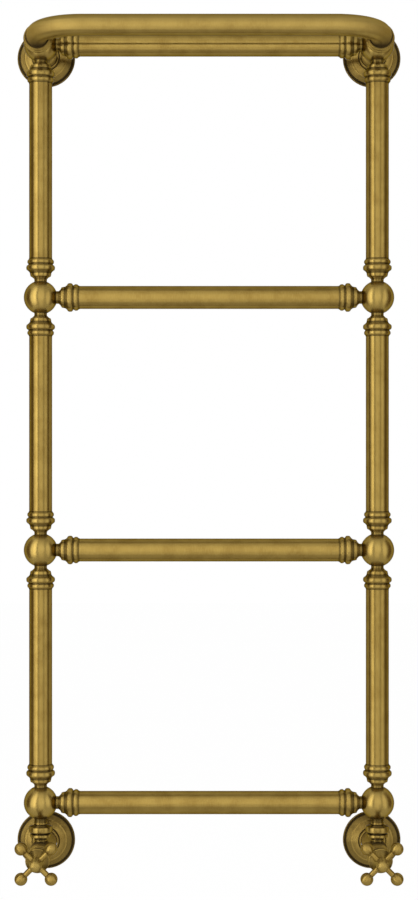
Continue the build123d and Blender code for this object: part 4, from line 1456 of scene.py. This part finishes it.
@dataclass
class Studio:
    """Pale floor, shade cards, lamps and camera. Distances here are in metres."""

    floor_z: float = -1.42
    floor_half: float = 9.0
    floor_white: float = 0.94
    floor_light: Colour = (0.90, 0.90, 0.89)
    floor_dark: Colour = (0.87, 0.87, 0.86)
    floor_roughness: float = 0.8
    card_x: float = 0.95
    card_front: float = -0.30
    card_back: float = 0.15
    card_low: float = -1.20
    card_high: float = 0.30
    card_glow: Colour = (0.30, 0.22, 0.13)
    camera_spot: Point = (0.0, -2.26, -0.4812)
    sensor_height: float = 24.0
    half_view: float = 0.24523
    lamps: tuple[Lamp, ...] = (
        Lamp("front_panel", (0.90, -1.98), (-0.65, -1.98), -1.10, 0.40, 1.21),
        Lamp("upper_panel", (0.90, -1.98), (-0.65, -1.98), 0.40, 1.00, 0.98),
        Lamp("high_panel", (0.90, -1.98), (-0.65, -1.98), 1.00, 1.60, 0.62),
        Lamp("overhead_panel", (0.90, -1.98), (-0.65, -1.98), 1.60, 2.30, 0.42, 45.0),
        Lamp("ceiling_panel", (0.90, -1.48), (-0.65, -1.48), 2.10, 2.80, 0.22, 70.0),
        Lamp("floor_panel", (0.33, -0.85), (-0.33, -0.85), -1.40, -0.27, 0.80, -80.0),
        Lamp("left_strip_inner", (-0.72, -1.14), (-1.02, -0.85), -1.32, 0.45, 3.1),
        Lamp("left_strip_outer", (-1.02, -0.85), (-1.33, -0.57), -1.32, 0.45, 1.8),
        Lamp("high_strip_inner", (-0.72, -1.14), (-1.02, -0.85), 0.45, 1.70, 2.4),
        Lamp("high_strip_outer", (-1.02, -0.85), (-1.33, -0.57), 0.45, 1.70, 1.3),
        Lamp("right_panel", (0.92, -0.48), (1.22, -1.68), -1.32, 0.45, 1.0),
    )

    def plane(self, name: str, corners: list[Point]) -> bpy.types.Object:
        """Make one flat staging piece.

        Args:
            name: Name of the piece.
            corners: Its four corners.

        Returns:
            The linked piece, which isn't part of the rail.
        """
        data = bpy.data.meshes.new(name)
        data.from_pydata(corners, [], [(0, 1, 2, 3)])
        made = bpy.data.objects.new(name, data)
        bpy.context.scene.collection.objects.link(made)
        return made

    def build_floor(self) -> None:
        """Lay the floor, which looks white and still takes the rail's shadow."""
        half, z = self.floor_half, self.floor_z
        corners = [(-half, -half, z), (half, -half, z), (half, half, z), (-half, half, z)]
        floor = self.plane("floor", corners)
        bench = NodeBench("pale_floor")
        place = bench.add("ShaderNodeTexCoord").outputs["Object"]
        shade = bench.spread(bench.noise(place, 3.0), (0.3, 0.7), (0.0, 1.0))
        colour = bench.blend(shade, self.floor_light, self.floor_dark)
        bench.join(colour, bench.shader.inputs["Base Color"])
        bench.shader.inputs["Roughness"].default_value = self.floor_roughness
        white = bench.add("ShaderNodeEmission")
        white.inputs["Color"].default_value = (1.0, 1.0, 1.0, 1.0)
        rays = bench.add("ShaderNodeLightPath")
        direct = bench.sum(rays.outputs["Is Camera Ray"], rays.outputs["Is Transmission Ray"])
        seen = bench.sum(direct, rays.outputs["Is Glossy Ray"])
        mix = bench.add("ShaderNodeMixShader")
        bench.join(bench.spread(seen, (0.0, 1.0), (0.0, self.floor_white)), mix.inputs[0])
        bench.join(bench.shader.outputs["BSDF"], mix.inputs[1])
        bench.join(white.outputs["Emission"], mix.inputs[2])
        bench.join(mix.outputs[0], bench.output.inputs["Surface"])
        floor.data.materials.append(bench.material)

    def build_cards(self) -> None:
        """Stand a shade card at each side, seen only in the metal."""
        bench = NodeBench("shade_card")
        glow = bench.add("ShaderNodeEmission")
        glow.inputs["Color"].default_value = (*self.card_glow, 1.0)
        bench.join(glow.outputs["Emission"], bench.output.inputs["Surface"])
        for side in Side:
            x = side.value * self.card_x
            edge = ((self.card_front, self.card_low), (self.card_back, self.card_low))
            edge += ((self.card_back, self.card_high), (self.card_front, self.card_high))
            card = self.plane(f"shade_card_{side.label}", [(x, y, z) for y, z in edge])
            card.data.materials.append(bench.material)
            card.visible_camera = False
            card.visible_diffuse = False
            card.visible_shadow = False

    def build_world(self) -> None:
        """Light the room evenly white."""
        world = bpy.data.worlds.new("white_room")
        world.use_nodes = True
        back = world.node_tree.nodes["Background"]
        back.inputs["Color"].default_value = (1.0, 1.0, 1.0, 1.0)
        back.inputs["Strength"].default_value = 1.0
        bpy.context.scene.world = world

    def build_camera(self) -> None:
        """Aim the camera level at the middle of the rail."""
        data = bpy.data.cameras.new("camera")
        data.sensor_fit = "VERTICAL"
        data.sensor_height = self.sensor_height
        data.lens = self.sensor_height / (2 * self.half_view)
        data.clip_end = 50.0
        camera = bpy.data.objects.new("camera", data)
        camera.location = self.camera_spot
        camera.rotation_euler = (math.pi / 2, 0.0, 0.0)
        bpy.context.scene.collection.objects.link(camera)
        bpy.context.scene.camera = camera

    def build(self) -> None:
        """Set the whole studio up."""
        bpy.context.scene.view_settings.view_transform = "Standard"
        self.build_world()
        self.build_floor()
        self.build_cards()
        for lamp in self.lamps:
            lamp.build()
        self.build_camera()
        log.info("studio is set up")


def main() -> None:
    """Build every sub-assembly in order."""
    logging.basicConfig(level=logging.INFO, format="%(name)s: %(message)s")
    plan = RailPlan()
    dresser = Dresser()
    Studio().build()
    RailFrame(plan).build(dresser)
    TowelHoop(plan).build(dresser)
    WallFixings(plan).build(dresser)
    AngleValves(plan).build(dresser)
    for side in Side:
        CrossHandle(plan, side).build(dresser)
    AirVent(plan).build(dresser)
    dresser.dress_the_rest()


if __name__ == "__main__":
    main()
